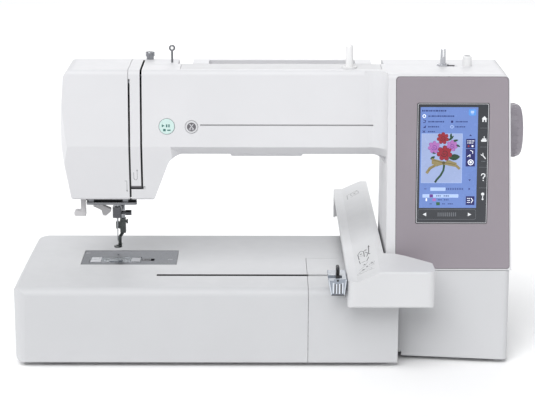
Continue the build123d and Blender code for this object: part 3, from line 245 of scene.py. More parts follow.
BOBBIN = clear("bobbin_clear", (0.85, 0.88, 0.92), 0.12, 0.7)
DIFFUSER = lit("lamp_diffuser", (0.32, 0.325, 0.335), 0.1, 0.5, 0.0)
CLAMP = moulded("clamp_blue_grey", (0.27, 0.30, 0.35), 0.25, 0.06, 500, 0.06, 0.0003, 0.4)
CLAMP_LIGHT = moulded("clamp_edge", (0.66, 0.70, 0.76), 0.25, 0.05, 500, 0.06, 0.0003, 0.4)
LEVER_GREY = moulded("lever_grey", (0.60, 0.59, 0.60), 0.4, 0.05)
BUTTON_MINT = moulded("button_mint", (0.58, 0.75, 0.715), 0.3, 0.04, 900, 0.05, 0.0004, 0.3)
BUTTON_GREY = moulded("button_grey", (0.64, 0.64, 0.655), 0.3, 0.06, 900, 0.05, 0.0004, 0.3)

LOOKS = {
    "bed_cover": WHITE_BED_PAINTED_SHADE, "carriage_bay_cover": WHITE_BED_PAINTED_SHADE, "tower_base_cover": WHITE_BASE_PAINTED_SHADE,
    "face_cover": WHITE, "front_cover": WHITE, "rear_cover": WHITE, "top_cover": WHITE_TOP_PAINTED_SHADE,
    "thread_guide_strip": WHITE, "carriage_cover": WHITE_CARRIAGE_PAINTED_SHADE, "carrying_handle": WHITE,
    "base_pan": PAN_PAINTED_LIGHT, "screen_panel": MAUVE, "handwheel": WHEEL, "touch_glass": BEZEL,
    "lcd_display": SCREEN, "rubber_feet": RUBBER, "drive_belts": BELT, "control_boards": BOARD,
    "main_frame": CAST, "shaft_bushes": BRASS, "main_shaft": STEEL, "upper_pulleys": DARK,
    "connecting_rod": CAST, "take_up_lever": CHROME, "lower_shaft": STEEL, "rotary_hook": CHROME,
    "bobbin_holder": DARK, "bobbin": BOBBIN, "drive_motors": DARK_STEEL, "motor_pulley": STEEL,
    "needle_bar": CHROME, "needle_clamp": CLAMP_STEEL, "needle": CHROME, "presser_bar": CHROME,
    "embroidery_foot": GREEN_STEEL, "presser_lifter": DARK, "threader_lever": LEVER_GREY,
    "needle_threader": LEVER_GREY, "thread_guides": STEEL, "needle_plate": PLATE, "fixing_screws": STEEL,
    "hook_cover_window": WINDOW, "release_button": CHARCOAL, "x_carriage": DARK, "x_drive_frame": STEEL,
    "x_drive_pulley": STEEL, "arm_chassis": STEEL, "y_rail_and_belt": STEEL, "hoop_connector": CLAMP,
    "hoop_latch_lever": DARK, "start_stop_button": BUTTON_MINT, "thread_cutter_button": BUTTON_GREY,
    "led_lens": DIFFUSER, "spool_pin": GLOSS_WHITE, "thread_tension_button": CHROME, "winder_arm": DARK,
    "winder_spindle": SPINDLE, "winder_stopper": GLOSS_WHITE, "power_switch": DARK, "side_sockets": DARK,
}
for node, look in LOOKS.items():
    shown = NODES[node]
    if not shown.data.materials:
        shown.data.materials.append(look)
    for held in shown.material_slots:
        held.material = look


# ---- mesh helpers --------------------------------------------------------
class Sheet:
    """A tilted surface to draw on: right and up in millimetres, and out from it."""

    def __init__(self, origin, right, up):
        self.origin = Vector(origin)
        self.right = Vector(right).normalized()
        self.up = Vector(up).normalized()
        self.out = self.right.cross(self.up)

    def point(self, u, v, w=0.0):
        return self.origin + (self.right * u + self.up * v + self.out * w) / 1000


def rect(u0, v0, u1, v1, r=0.0, steps=5):
    """A rectangle, with rounded corners if r is given."""
    if r <= 0:
        return [(u0, v0), (u1, v0), (u1, v1), (u0, v1)]
    corners = ((u1 - r, v0 + r, -90), (u1 - r, v1 - r, 0), (u0 + r, v1 - r, 90), (u0 + r, v0 + r, 180))
    return [(cu + r * cos(radians(a + 90 * k / steps)), cv + r * sin(radians(a + 90 * k / steps)))
            for cu, cv, a in corners for k in range(steps + 1)]


def disc(cu, cv, r, count=28):
    return [(cu + r * cos(2 * pi * k / count), cv + r * sin(2 * pi * k / count)) for k in range(count)]


def ribbon(points, width, closed=False):
    """Quads along a line, mitred at its corners."""
    count = len(points)
    left, right = [], []
    for i in range(count):
        here = Vector(points[i])
        before = Vector(points[i - 1]) if i or closed else None
        after = Vector(points[(i + 1) % count]) if i < count - 1 or closed else None
        joints = ((before, here), (here, after))
        along = [(b - a).normalized() for a, b in joints if a is not None and b is not None]
        middle = sum(along, Vector((0, 0))).normalized()
        side = Vector((-middle.y, middle.x)) * (width / 2 / max(middle.dot(along[0]), 0.5))
        left.append(tuple(here + side))
        right.append(tuple(here - side))
    last = count if closed else count - 1
    return [[left[i], right[i], right[(i + 1) % count], left[(i + 1) % count]] for i in range(last)]


def marks(name, sheet, layers, body):
    """Thin raised shapes on a sheet. layers holds (material, from, to, faces)."""
    whole = bmesh.new()
    mesh = bpy.data.meshes.new(name)
    used = []
    for look, w0, w1, faces in layers:
        if look not in used:
            used.append(look)
            mesh.materials.append(look)
        flat = bmesh.new()
        for face in faces:
            area = sum(face[i - 1][0] * face[i][1] - face[i][0] * face[i - 1][1] for i in range(len(face)))
            ordered = face if area > 0 else face[::-1]
            flat.faces.new([flat.verts.new((u, v, 0)) for u, v in ordered])
        bmesh.ops.remove_doubles(flat, verts=flat.verts, dist=1e-5)
        lifted = bmesh.ops.extrude_face_region(flat, geom=flat.faces[:], use_keep_orig=True)
        for item in lifted["geom"]:
            if isinstance(item, bmesh.types.BMVert):
                item.co.z = w1 - w0
        for vert in flat.verts:
            vert.co = sheet.point(vert.co.x, vert.co.y, vert.co.z + w0)
        bmesh.ops.recalc_face_normals(flat, faces=flat.faces)
        for face in flat.faces:
            face.material_index = used.index(look)
        part = bpy.data.meshes.new(name)
        flat.to_mesh(part)
        flat.free()
        whole.from_mesh(part)
        bpy.data.meshes.remove(part)
    whole.to_mesh(mesh)
    whole.free()
    made = bpy.data.objects.new(name, mesh)
    bpy.context.scene.collection.objects.link(made)
    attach(made, body)
    return made


# ---- camera, light and floor ---------------------------------------------
PITCH, ROLL, YAW = 0.25729, 0.00213, 0.00275
EYE, LENS = (-0.00925, -1.93371, 0.64294), 116.077
ahead = Vector((sin(YAW) * cos(PITCH), cos(YAW) * cos(PITCH), -sin(PITCH)))
level = Vector((cos(YAW), -sin(YAW), 0))
upward = level.cross(ahead)
right = level * cos(ROLL) + upward * sin(ROLL)
top = upward * cos(ROLL) - level * sin(ROLL)
lens = bpy.data.cameras.new("camera")
lens.lens, lens.sensor_width, lens.sensor_fit = LENS, 36.0, "HORIZONTAL"
lens.clip_start, lens.clip_end = 0.1, 60
camera = bpy.data.objects.new("camera", lens)
camera.matrix_world = Matrix.Translation(EYE) @ Matrix((right, top, -ahead)).transposed().to_4x4()
bpy.context.scene.collection.objects.link(camera)
bpy.context.scene.camera = camera


def area(name, place, size, power, tint=(1, 1, 1), target=(0, 0, 0.12)):
    data = bpy.data.lights.new(name, "AREA")
    data.shape, data.size, data.energy, data.color = "SQUARE", size, power, tint
    lamp = bpy.data.objects.new(name, data)
    lamp.location = place
    lamp.rotation_euler = (Vector(target) - Vector(place)).to_track_quat("-Z", "Y").to_euler()
    bpy.context.scene.collection.objects.link(lamp)


sun = bpy.data.lights.new("key", "SUN")
sun.energy, sun.angle = 2.0, radians(50)
key = bpy.data.objects.new("key", sun)
key.rotation_euler = Vector((0.45, 1.0, -1.35)).to_track_quat("-Z", "Y").to_euler()
bpy.context.scene.collection.objects.link(key)
area("fill", (1.7, -1.2, 1.0), 1.5, 4)
area("left", (-2.0, 0.3, 0.9), 1.2, 8)
area("behind", (0.2, 1.9, 1.5), 1.6, 14)
world = bpy.data.worlds.new("studio")
bpy.context.scene.world = world
world.use_nodes = True
world.node_tree.nodes["Background"].inputs["Color"].default_value = (0.97, 0.98, 1.0, 1)
world.node_tree.nodes["Background"].inputs["Strength"].default_value = 0.50
bpy.context.scene.view_settings.view_transform = "Standard"

ground = bmesh.new()
bmesh.ops.create_grid(ground, x_segments=2, y_segments=2, size=9)
floor_mesh = bpy.data.meshes.new("floor")
ground.to_mesh(floor_mesh)
ground.free()
floor = bpy.data.objects.new("floor", floor_mesh)
bpy.context.scene.collection.objects.link(floor)
floor_mesh.materials.append(moulded("floor_pale", (0.965, 0.965, 0.965), 0.8, 0.01, 30, 0.02, 0))

# ---- the display ---------------------------------------------------------
PANEL_FOOT = 99
LEAN = atan2(18.2, 213.5)
PANEL = Sheet(at(0, 36, PANEL_FOOT), (1, 0, 0), (0, sin(LEAN), cos(LEAN)))


def panel_up(z):
    """The way up the tilted panel to a height."""
    return (z - PANEL_FOOT) / cos(LEAN)


SCREEN_LEFT, SCREEN_TOP = 435.0, panel_up(277.5)


def screen(points):
    """Millimetres right and down from the display's top left corner."""
    return [(SCREEN_LEFT + u, SCREEN_TOP - v) for u, v in points]


def on_screen(name, layers):
    placed = [(look, w0, w1, [screen(face) for face in faces]) for look, w0, w1, faces in layers]
    return marks(name, PANEL, placed, "housing")


INK_BLUE = lit("ink_navy", (0.006, 0.008, 0.11), 0.1)
PALE_BLUE = lit("ink_pale", (0.36, 0.47, 0.72), 0.3)
CANVAS = lit("canvas_pale", (0.262, 0.328, 0.53), 0.3)
SKY = lit("ink_sky", (0.08, 0.25, 0.62), 0.3)
UI_WHITE = lit("ink_white", (0.86, 0.90, 0.98), 0.35)
UI_MID = lit("ink_mid", (0.02, 0.045, 0.19), 0.1)
RED = lit("thread_red", (0.27, 0.008, 0.022), 0.12)
DEEP_RED = lit("thread_deep_red", (0.085, 0.002, 0.008), 0.08)
PINK = lit("thread_pink", (0.36, 0.13, 0.40), 0.15)
ORCHID = lit("thread_orchid", (0.12, 0.03, 0.24), 0.1)
LEAF = lit("thread_leaf", (0.006, 0.040, 0.018), 0.06)
LEAF_LIGHT = lit("thread_leaf_light", (0.018, 0.10, 0.032), 0.1)
STRAW = lit("thread_straw", (0.25, 0.20, 0.085), 0.12)
STRAW_DARK = lit("thread_straw_dark", (0.09, 0.07, 0.025), 0.1)
ICON = moulded("icon_white", (0.80, 0.82, 0.84), 0.3, 0.02, 900, 0.02, 0)
ICON_DIM = moulded("icon_dim", (0.16, 0.17, 0.19), 0.35, 0.04, 900, 0.02, 0)

# print levels behind the glass's face, from the back
L0, L1, L2, L3, L4 = -0.60, -0.57, -0.54, -0.51, -0.48


def dashes(u, v, widths, height=1.1, gap=0.55):
    """Plain bars in a row, in place of writing."""
    out = []
    for width in widths:
        out.append(rect(u, v - height / 2, u + width, v + height / 2))
        u += width + gap
    return out


rows = dashes(1.6, 4.0, (1.6, 1.2, 2.4, 1.3, 2.0, 0.9, 1.2, 2.6, 1.4, 2.2, 1.0, 1.6), 1.7, 0.6)
rows += dashes(8.4, 9.8, (1.8, 0.9, 2.2, 1.3, 0.8, 2.4, 1.4, 1.1, 2.6, 1.2, 2.0, 1.6, 1.9), 1.5)
rows += dashes(8.4, 15.8, (1.8, 1.2, 2.4, 0.9, 1.9, 1.3, 2.2, 1.5), 1.5)
rows += dashes(38.0, 15.8, (1.1, 1.4, 0.7, 2.0, 1.2, 1.6, 1.5), 1.4)
rows += dashes(8.4, 21.3, (1.7, 1.1, 1.9, 1.3, 1.6, 1.2), 1.5)
rows += dashes(37.6, 21.3, (1.0, 1.5, 0.8, 1.9, 1.3, 1.4), 1.4)
rows += dashes(8.4, 26.6, (1.6, 1.0, 1.9, 1.1), 1.3)
icons = ribbon([(3.2, 13.8), (5.6, 14.6), (5.2, 16.6), (3.0, 17.0)], 0.7)
icons += [[(3.0, 22.4), (6.2, 19.6), (5.6, 22.8)], rect(32.9, 14.6, 35.3, 17.0, 0.5)]
icons += ribbon([(2.6, 25.4), (5.4, 27.8)], 0.6) + ribbon([(5.4, 25.4), (2.6, 27.8)], 0.6)
on_screen("screen_readout", [
    (UI_MID, L0, L1, rows), (INK_BLUE, L0, L1, icons),
    (UI_WHITE, L0, L1, ribbon(disc(4.1, 9.8, 1.5), 0.7, True)),
    (PALE_BLUE, L0, L1, ribbon(disc(34.0, 21.3, 1.5), 0.6, True)),
    (SKY, L0, L1, [rect(51.8, 2.2, 59.8, 9.2, 1.6)]),
    (PALE_BLUE, L1, L2, [[(54.0, 4.0), (57.6, 4.0), (57.6, 6.4), (54.0, 6.4)], rect(54.6, 7.0, 57.0, 7.6)]),
])

rim = ribbon(rect(1.8, 28.8, 45.6, 82.4), 0.35, True)
on_screen("screen_canvas", [(CANVAS, L0, L1, [rect(1.8, 28.8, 45.6, 82.4)]), (PALE_BLUE, L1, L2, rim)])


def petal(cu, cv, reach, width, angle, count=14):
    """A drop-shaped petal pointing out from a flower's middle."""
    out = []
    for k in range(count):
        a = 2 * pi * k / count
        along = reach * (0.5 + 0.5 * cos(a))
        across = width * 0.5 * sin(a) * (0.55 + 0.45 * cos(a) * 0.8)
        out.append((cu + along * cos(angle) - across * sin(angle),
                    cv + along * sin(angle) + across * cos(angle)))
    return out


def rosette(cu, cv, r, outer, inner, base):
    """A generic layered flower: two whorls of petals round a spiral middle."""
    whorl = [petal(cu, cv, r, r * 0.95, 2 * pi * k / 7 + 0.3) for k in range(7)]
    core = [petal(cu, cv, r * 0.66, r * 0.7, 2 * pi * k / 5) for k in range(5)]
    curl = []
    for k in range(13):
        reach = (0.08 + 0.035 * k) * r
        curl.append((cu + reach * cos(0.75 * k), cv + reach * sin(0.75 * k)))
    layers = [(base, L1, L2, [disc(cu, cv, r * 0.72)])]
    for i, shape in enumerate(whorl):
        layers.append((outer, L2 + 0.002 * i, L2 + 0.02 + 0.002 * i, [shape]))
    for shape in whorl:
        layers.append((inner, L3 - 0.01, L3, ribbon(shape[8:] + shape[:1], r * 0.05)))
    for i, shape in enumerate(core):
        layers.append((outer, L3 + 0.002 * i, L3 + 0.012 + 0.002 * i, [shape]))
    layers.append((inner, L4 - 0.012, L4, ribbon(curl, r * 0.09)))
    return layers


def leaf(cu, cv, length, width, angle):
    """A pointed leaf with a lighter vein."""
    shape = []
    for k in range(13):
        t = k / 12
        shape.append((t * length, width * 0.5 * sin(pi * t) ** 0.8))
    outline = shape + [(a, -b) for a, b in shape[::-1][1:-1]]
    spin = [(cu + a * cos(angle) - b * sin(angle), cv + a * sin(angle) + b * cos(angle)) for a, b in outline]
    tip = (cu + length * 0.9 * cos(angle), cv + length * 0.9 * sin(angle))
    return [(LEAF, L1, L2, [spin]), (LEAF_LIGHT, L2, L2 + 0.01, ribbon([(cu, cv), tip], 0.25))]


bouquet = []
stem = [(25.8, 60.5), (26.4, 64), (25.6, 69), (22.6, 74.5), (18.6, 79.0), (16.8, 82.0)]
bouquet += [(LEAF, L1, L2, ribbon(stem, 2.2)), (LEAF_LIGHT, L2, L2 + 0.01, ribbon(stem[:5], 0.4))]
for spray in ((30.5, 36.5, 8.0, 2.6, -0.75), (33, 34, 6.0, 2.2, -1.5), (34.5, 37, 7.0, 2.4, -0.2),
              (38.5, 40.5, 5.5, 2.2, 0.5), (16.5, 53.5, 6.0, 3.0, 2.6), (17.5, 50.5, 6.5, 3.0, 3.6),
              (31, 55, 12.5, 6.8, -0.1), (29, 58, 8.0, 4.2, 0.5), (22, 62, 6.5, 3.0, 2.9)):
    bouquet += leaf(*spray)
bouquet += rosette(24.6, 33.8, 6.6, RED, DEEP_RED, DEEP_RED)
bouquet += rosette(15.4, 43.5, 6.8, PINK, ORCHID, ORCHID)
bouquet += rosette(34.4, 42.0, 6.2, PINK, ORCHID, ORCHID)
bouquet += rosette(26.6, 50.0, 8.4, RED, DEEP_RED, DEEP_RED)
bow = [[(25.8, 59.2), (12.8, 55.4), (13.0, 62.0), (19.0, 62.6)],
       [(26.0, 60.0), (31.0, 57.5), (40.0, 60.5), (39.5, 64.5), (31.5, 63.0)]]
tails = ribbon([(25.4, 61), (18, 62.6), (11.2, 66.4), (7.6, 72.0)], 3.0)
tails += ribbon([(26.2, 61), (33, 62.4), (39.5, 63.6), (43.4, 67.2)], 2.8)
folds = ribbon([(14, 57.4), (24.8, 60.2)], 0.5)
folds += ribbon([(27.4, 60.4), (38.4, 62.2)], 0.5)
folds += ribbon([(16, 63.6), (9.2, 69.6)], 0.4)
bouquet += [(STRAW, L2, L3, tails), (STRAW, L3, L3 + 0.012, bow), (STRAW_DARK, L4 - 0.01, L4, folds),
            (STRAW_DARK, L3, L4, [disc(25.9, 60.4, 1.7)])]
on_screen("screen_flowers", bouquet)

tools = [rect(49.6, 34.4, 59.6, 44.6), rect(49.6, 45.2, 59.6, 64.4), rect(50.6, 97.0, 60.0, 106.6)]
glyphs = dashes(51.0, 36.6, (1.2, 2.6, 2.4), 0.7, 0.6) + dashes(51.0, 38.8, (1.2, 2.6, 1.4), 0.7, 0.6)
glyphs += ribbon([(54.4, 46.8), (57.0, 48.0), (57.0, 50.4)], 0.6)
glyphs += ribbon([(51.2, 53.6), (54.2, 51.6), (54.2, 54.2)], 0.6)
glyphs += ribbon(disc(55.0, 59.9, 2.7), 0.8, True) + [rect(53.9, 58.8, 56.1, 61.0)]
glyphs += dashes(52.0, 99.4, (0.9, 1.6), 0.7)
glyphs += dashes(52.0, 101.6, (0.9, 1.6), 0.7)
glyphs += dashes(52.0, 103.8, (0.9, 1.6), 0.7)
glyphs += ribbon([(56.4, 99.0), (58.2, 101.6), (56.4, 104.4)], 0.7)
small = [[(52.8, 31.2), (54.3, 29.6), (55.8, 31.2)], [(52.8, 78.6), (55.8, 78.6), (54.3, 80.2)],
         [(53.4, 87.6), (55.2, 89.0), (53.4, 90.4)], rect(5.4, 88.7, 7.8, 89.3)]
on_screen("screen_tools", [
    (INK_BLUE, L0, L1, tools), (UI_WHITE, L1, L2, glyphs), (RED, L1, L2, [disc(52.4, 42.2, 1.0)]),
    (UI_WHITE, L1, L2, [disc(56.6, 42.2, 1.0)]), (INK_BLUE, L0, L1, small),
])

ticks = [rect(29.4 + 1.9 * k, 87.9, 30.3 + 1.9 * k, 90.1) for k in range(10)]
on_screen("screen_colour_list", [
    (PALE_BLUE, L0, L1, [rect(12, 87.4, 28.4, 91.2), rect(3.6, 94.8, 42.6, 98.6, 0.6)]),
    (UI_MID, L0, L1, ticks), (ORCHID, L1, L2, [rect(11.2, 95.0, 15.0, 98.4)]),
    (UI_MID, L1, L2, dashes(18.4, 96.7, (1.2, 1.8, 1.0), 1.2) + dashes(26.5, 96.7, (1.6, 2.0, 1.2), 1.2)),
    (PINK, L0, L1, [rect(14.6, 99.4, 18.2, 102.4)]), (UI_WHITE, L0, L1, [rect(7.2, 99.4, 8.6, 102.4)]),
    (UI_MID, L0, L1, dashes(20.4, 101.0, (1.0, 1.4, 0.9), 1.1) + dashes(27.0, 101.0, (1.6, 1.2, 1.0), 1.1)),
    (LEAF_LIGHT, L0, L1, [rect(18.6, 103.6, 22.6, 107.0)]),
    (UI_MID, L0, L1, dashes(11.6, 105.4, (0.9, 0.6), 1.2) + dashes(25.2, 105.4, (1.4, 1.0), 1.1)
     + dashes(31.2, 105.4, (1.2, 1.9, 1.2), 1.1)),
])

# ---- printed marks on the dark glass -------------------------------------
G0, G1 = -0.40, -0.34


def on_glass(name, layers):
    placed = [(look, G0, G1, [screen(face) for face in faces]) for look, faces in layers]
    return marks(name, PANEL, placed, "housing")


COLUMN = 68.8


def beside(points):
    """Points measured across from the middle of the column of signs."""
    return [(COLUMN + u, v) for u, v in points]


house = [beside([(-3.0, 12.8), (0, 9.6), (3.0, 12.8)]),
         beside([(-2.2, 12.8), (2.2, 12.8), (2.2, 16.0), (0.8, 16.0), (0.8, 13.8), (-0.8, 13.8),
                 (-0.8, 16.0), (-2.2, 16.0)])]
tray = [rect(COLUMN - 3.2, 35.2, COLUMN + 3.0, 37.4, 0.9),
        beside([(-1.9, 33.9), (-0.2, 33.9), (-0.2, 31.4), (0.6, 31.4), (0.6, 33.9), (2.4, 33.9),
                (2.4, 35.4), (-1.9, 35.4)])]
wrench = ribbon(beside([(-1.4, 51.6), (2.2, 56.0)]), 1.2)
wrench += ribbon(beside([(-1.0, 49.6), (-0.6, 51.2), (-2.0, 52.2), (-3.0, 51.2)]), 0.8)
query = ribbon(beside([(-2.0, 74.4), (-1.4, 72.8), (0.2, 72.2), (1.8, 73.0), (2.0, 74.6), (0.2, 76.6),
                       (0.2, 78.0)]), 1.1)
query += [rect(COLUMN - 0.4, 79.0, COLUMN + 0.8, 80.2, 0.3)]
pinmark = [disc(COLUMN, 94.6, 1.7), rect(COLUMN - 0.45, 95.8, COLUMN + 0.45, 99.4), disc(COLUMN, 100.2, 1.0)]
arrows = [[(4.2, 117.0), (8.0, 115.0), (8.0, 119.0)], [(57.0, 117.0), (53.2, 115.0), (53.2, 119.0)]]
grip = [rect(20.4 + 2.1 * k, 114.8, 21.4 + 2.1 * k, 119.2, 0.3, 2) for k in range(10)]
rules = [rect(64.4, v, 73.2, v + 0.35) for v in (22.4, 43.0, 65.0, 87.6)]
frame_line = ribbon(rect(-1.0, 111.6, 61.6, 122.4, 1.6), 0.3, True)
under_wrench = dashes(COLUMN - 2.2, 58.8, (1.0, 1.2, 1.0), 0.8, 0.5)
on_glass("glass_icons", [(ICON, house + tray + wrench + query + pinmark + arrows),
                         (ICON_DIM, grip + rules + frame_line + under_wrench)])

# ---- marks, fittings and painted shade on the shell -----------------------
LINE_GREY = moulded("print_grey", (0.30, 0.30, 0.31), 0.5, 0.04, 900, 0.05, 0)
# The dark print colour also paints shade in the hoop connector's gaps, and the dark grey one paints the shade
# band above the thread slot.
DARK_PRINT_AND_SHADE = moulded("dark_print_and_painted_shade", (0.060, 0.060, 0.068), 0.5, 0.06, 900, 0.05, 0)
GREY_PRINT_AND_SHADE = moulded("grey_print_and_painted_shade", (0.135, 0.13, 0.142), 0.5, 0.06, 900, 0.05, 0)
PRINT_GREEN = moulded("print_green", (0.055, 0.17, 0.155), 0.4, 0.06, 900, 0.05, 0)
PALE_RIM = moulded("pale_rim", (0.62, 0.62, 0.65), 0.35, 0.03, 900, 0.05, 0)
LID_FAINT = moulded("lid_faint", (0.33, 0.34, 0.37), 0.3, 0.03, 900, 0.05, 0)
LID_PALE = moulded("lid_pale", (0.44, 0.45, 0.48), 0.3, 0.03, 900, 0.05, 0)

FACE_LEAN = atan2(8.0, 83.0)
FOLD_Z, LOW_RUN, LOW_DROP = 229.5, 8.0, 61.7
ARM_FACE = Sheet(at(0, 68, FOLD_Z), (1, 0, 0), (0, sin(FACE_LEAN), cos(FACE_LEAN)))
LOW_FACE = Sheet(at(0, 68, FOLD_Z), (1, 0, 0), (0, -LOW_RUN, LOW_DROP))


def face_up(z):
    """The way up the arm's face from its fold to a height."""
    return (z - FOLD_Z) / cos(FACE_LEAN)


GLASS_UP0, GLASS_UP1 = panel_up(151.3), panel_up(281.3)
glass_edge = ribbon(rect(432.35, GLASS_UP0 + 0.35, 508.15, GLASS_UP1 - 0.35, 1.3), 0.55, True)
marks("glass_rim", PANEL, [(PALE_RIM, -0.4, -0.33, glass_edge)], "housing")

groove_up = face_up(253.3)
groove = rect(197.8, groove_up - 0.55, 386.2, groove_up + 0.55)
marks("arm_line", ARM_FACE, [(LINE_GREY, -0.68, -0.55, [groove])], "housing")

START_U, up = 161.2, face_up(251.8)
starts = [[(START_U - 5.4, up - 0.8), (START_U - 5.4, up + 2.4), (START_U - 2.2, up + 0.8)],
          rect(START_U - 0.8, up - 0.8, START_U + 0.7, up + 2.4),
          rect(START_U + 1.7, up - 0.8, START_U + 3.2, up + 2.4),
          rect(START_U - 3.9, up - 5.2, START_U - 1.1, up - 2.6),
          rect(START_U + 0.6, up - 4.7, START_U + 4.2, up - 3.3)]
marks("start_symbols", ARM_FACE, [(PRINT_GREEN, 0.8, 0.84, starts)], "start_button")

CUTTER_U, up = 188.1, face_up(251.3)
cross = ribbon([(CUTTER_U - 2.0, up + 3.2), (CUTTER_U + 1.5, up - 1.4)], 0.8)
cross += ribbon([(CUTTER_U + 2.0, up + 3.2), (CUTTER_U - 1.5, up - 1.4)], 0.8)
loops = ribbon(disc(CUTTER_U - 1.7, up - 2.4, 0.9, 12), 0.5, True)
loops += ribbon(disc(CUTTER_U + 1.7, up - 2.4, 0.9, 12), 0.5, True)
marks("cutter_symbols", ARM_FACE,
      [(GREY_PRINT_AND_SHADE, 0.8, 0.83, [disc(CUTTER_U, up, 4.9)]), (PALE_RIM, 0.83, 0.86, cross + loops)],
      "cutter_button")


def low_up(z):
    """The same below the fold."""
    return (z - FOLD_Z) * (LOW_RUN ** 2 + LOW_DROP ** 2) ** 0.5 / LOW_DROP


hook_path = ((124.2, 200), (124.2, 193), (125.4, 191.4), (127.0, 191.2), (128.0, 193), (128.0, 202))
hook_line = ribbon([(x, low_up(z)) for x, z in hook_path], 0.55)
hook_line += [[(127.0, low_up(201.6)), (129.0, low_up(201.6)), (128.0, low_up(204.0))]]
hook_line += ribbon([(114.0, low_up(190)), (116.4, low_up(190)), (116.4, low_up(179))], 0.55)
hook_line += [[(115.4, low_up(179.4)), (117.4, low_up(179.4)), (116.4, low_up(177.0))]]
marks("thread_path_arrows", LOW_FACE, [(LINE_GREY, 0.0, 0.03, hook_line)], "housing")

# Painted shade: dark sheets just behind the thread slits, standing in for the shade inside them.
marks("slit_painted_shade", LOW_FACE, [
    (DARK, -2.6, -2.2, [rect(118.6, low_up(170.0), 121.8, low_up(229.0))]),
    (DARK, -2.6, -2.2, [rect(118.6, low_up(180.0), 137.4, low_up(183.2))])], "housing")
upper = rect(118.6, face_up(229.8), 121.8, face_up(240.0))
marks("slit_painted_shade_upper", ARM_FACE, [(DARK, -2.6, -2.2, [upper])], "housing")

# Painted shade: a dark grey band along the lip above the horizontal slot; a pale sheet closes the slot's
# right end.
marks("slot_painted_shade_and_fill", LOW_FACE, [
    (GREY_PRINT_AND_SHADE, 0.0, 0.03, [rect(121.3, low_up(182.5), 132.1, low_up(184.3))]),
    (WHITE_TOP_PAINTED_SHADE, -1.0, -0.02, [rect(134.6, low_up(180.55), 136.45, low_up(182.45))])], "housing")
MOUTH = Sheet(at(0, 85, 0), (1, 0, 0), (0, 0, 1))
shade = [(70.0, 165.2), (79.0, 162.7), (126.0, 162.7), (126.0, 167.4), (70.0, 167.4)]
marks("mouth_shade", MOUTH, [(DARK, 0.0, 1.0, [shade])], "housing")

# ---- diagrams on the carriage ---------------------------------------------
ARM_U, ARM_RUN, NEAR_RISE = 378, (24, 0, 11), 3.4
SLOPE_NEAR = Sheet(at(ARM_U, 3, 110.7 + NEAR_RISE * 31 / 62), ARM_RUN, (0, 62, NEAR_RISE))
hoop = ribbon([(-14.0, -11.0), (-8.0, -4.0), (0.0, 0.5), (8.6, 2.0)], 0.5)
hoop += ribbon(rect(-9.5, -9.5, 4.5, -4.8, 1.6), 0.4, True)
hoop += ribbon([(-12.0, -12.0), (-3.0, -8.8), (8.2, -11.0)], 0.4)
hoop += ribbon([(2.0, 6.0), (6.2, 12.5), (8.8, 10.0), (7.0, 3.8)], 0.5, True)
hoop += ribbon([(-6.0, 4.0), (-1.4, 10.0), (1.2, 17.0)], 0.5) + ribbon([(-10.0, 1.0), (-4.6, 6.0)], 0.4)
latch = [disc(5.6, 8.0, 1.3, 12), rect(-6.4, -2.6, -3.6, -0.6), rect(-1.4, 2.4, 0.8, 4.6),
         [(-4.6, 11.4), (-1.6, 11.0), (-2.6, 14.4)]]
latch += ribbon([(-7.4, 19.0), (-8.2, 30.0)], 0.8)
latch += ribbon([(0.2, 20.0), (3.2, 30.0)], 0.9)
latch += ribbon([(-5.6, 22.0), (-1.4, 21.0)], 0.8)
marks("hoop_lock_diagram", SLOPE_NEAR, [(LINE_GREY, 0.0, 0.03, hoop), (DARK_PRINT_AND_SHADE, 0.0, 0.035, latch)],
      "carriage")

SLOPE_MID = Sheet(at(ARM_U, 48, 114.1), ARM_RUN, (0, 1, 0))
lever = ribbon([(-8.0, -12.0), (-8.4, 8.0), (-4.8, 18.0), (-1.2, 12.0), (-1.6, -8.0)], 0.9)
lever += ribbon([(-6.6, 0.0), (-2.8, -2.0)], 0.8)
lever += ribbon([(1.0, -11.0), (4.2, 2.0), (5.4, 22.0)], 1.0) + ribbon([(0.4, 7.0), (5.4, -7.0)], 0.9)
lever += [disc(-4.8, 6.0, 1.4, 12), [(4.0, 21.0), (6.8, 21.0), (5.6, 27.0)], rect(-0.2, 12.6, 2.4, 15.4)]
marks("hoop_lever_diagram", SLOPE_MID, [(DARK_PRINT_AND_SHADE, 0.0, 0.03, lever)], "carriage")

SLOPE_FAR = Sheet(at(ARM_U, 300, 114.1), ARM_RUN, (0, 1, 0))
rear = ribbon([(-8, 0), (-8, 20), (4, 24)], 0.8)
rear += ribbon([(-4, 4), (8, 8)], 0.8)
rear += ribbon(rect(-3, 10, 7, 20, 2), 0.7, True)
rear += [[(3.2, 22.4), (5.0, 25.6), (7.2, 23.4)], disc(2, 15, 1.6, 12)]
marks("hoop_side_diagram", SLOPE_FAR, [(LINE_GREY, 0.0, 0.03, rear)], "carriage")

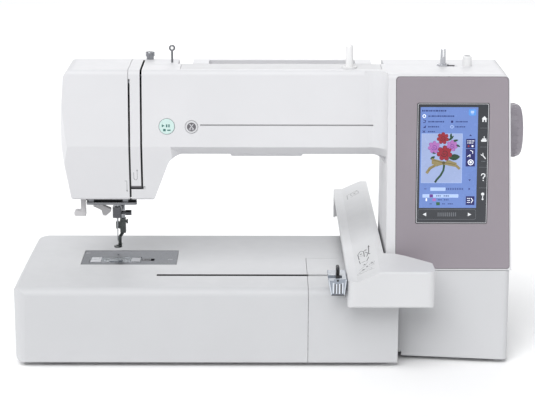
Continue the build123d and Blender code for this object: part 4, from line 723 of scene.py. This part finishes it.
# ---- hoop connector: ribs, gaps and edges ---------------------------------
CLAMP_FACE = Sheet(at(0, -26, 0), (1, 0, 0), (0, 0, 1))
ribs = [rect(339.6, 92.4, 341.4, 104.0, 0.3), rect(343.0, 92.0, 344.6, 102.8, 0.3),
        rect(346.0, 92.0, 347.8, 102.8, 0.3), rect(349.4, 92.4, 351.0, 104.0, 0.3)]
# Painted shade: near-black strips in the gaps between the raised ribs.
gaps = [rect(341.4, 92.0, 343.0, 102.6), rect(344.6, 92.0, 346.0, 102.6), rect(347.8, 92.0, 349.4, 102.6)]
frame_edge = ribbon([(338.6, 90.6), (335.4, 107.4)], 1.0)
frame_edge += ribbon([(351.9, 90.6), (353.9, 107.4)], 1.0)
frame_edge += ribbon([(335.2, 107.2), (340.6, 107.2)], 0.9)
marks("connector_ribs", CLAMP_FACE, [(CLAMP_LIGHT, 0.0, 0.5, ribs), (DARK_PRINT_AND_SHADE, 0.0, 0.06, gaps),
                                     (CLAMP_LIGHT, 0.0, 0.25, frame_edge),
                                     (DARK_PRINT_AND_SHADE, 0.0, 0.35, [rect(338.6, 90.0, 351.9, 91.2)])],
      "hoop_slider")

# ---- needle plate, winder surround, stopper -------------------------------
PLATE_LEVEL = Sheet(at(0, 0, 88.4), (1, 0, 0), (0, 1, 0))
marks("window_patches", PLATE_LEVEL, [
    (LID_PALE, 0.0, 0.03, [rect(71.2, 103.2, 82.6, 121.8, 0.8)]),
    (LID_FAINT, 0.0, 0.03, [rect(117.0, 105.0, 126.8, 120.6, 0.8)])], "window_lid")
scale = [rect(60.9 + 10 * k, 144.8, 61.2 + 10 * k, 147.6) for k in range(1, 10)]
scale += ribbon(disc(100.3, 132, 4.4), 0.35, True)
marks("plate_lines", PLATE_LEVEL, [(DARK_PRINT_AND_SHADE, 0.0, 0.02, scale)], "housing")

TOP = Sheet(at(0, 0, 312.5), (1, 0, 0), (0, 1, 0))
surround = ribbon(rect(457.2, 102.4, 478.8, 113.6, 5.4), 1.6, True)
marks("winder_surround", TOP, [(PALE_RIM, 0.0, 0.25, surround)], "housing")
marks("stopper_cap", Sheet(at(0, 0, 323.5), (1, 0, 0), (0, 1, 0)),
      [(LINE_GREY, 0.0, 0.3, [disc(490, 108, 3.3)])], "housing")
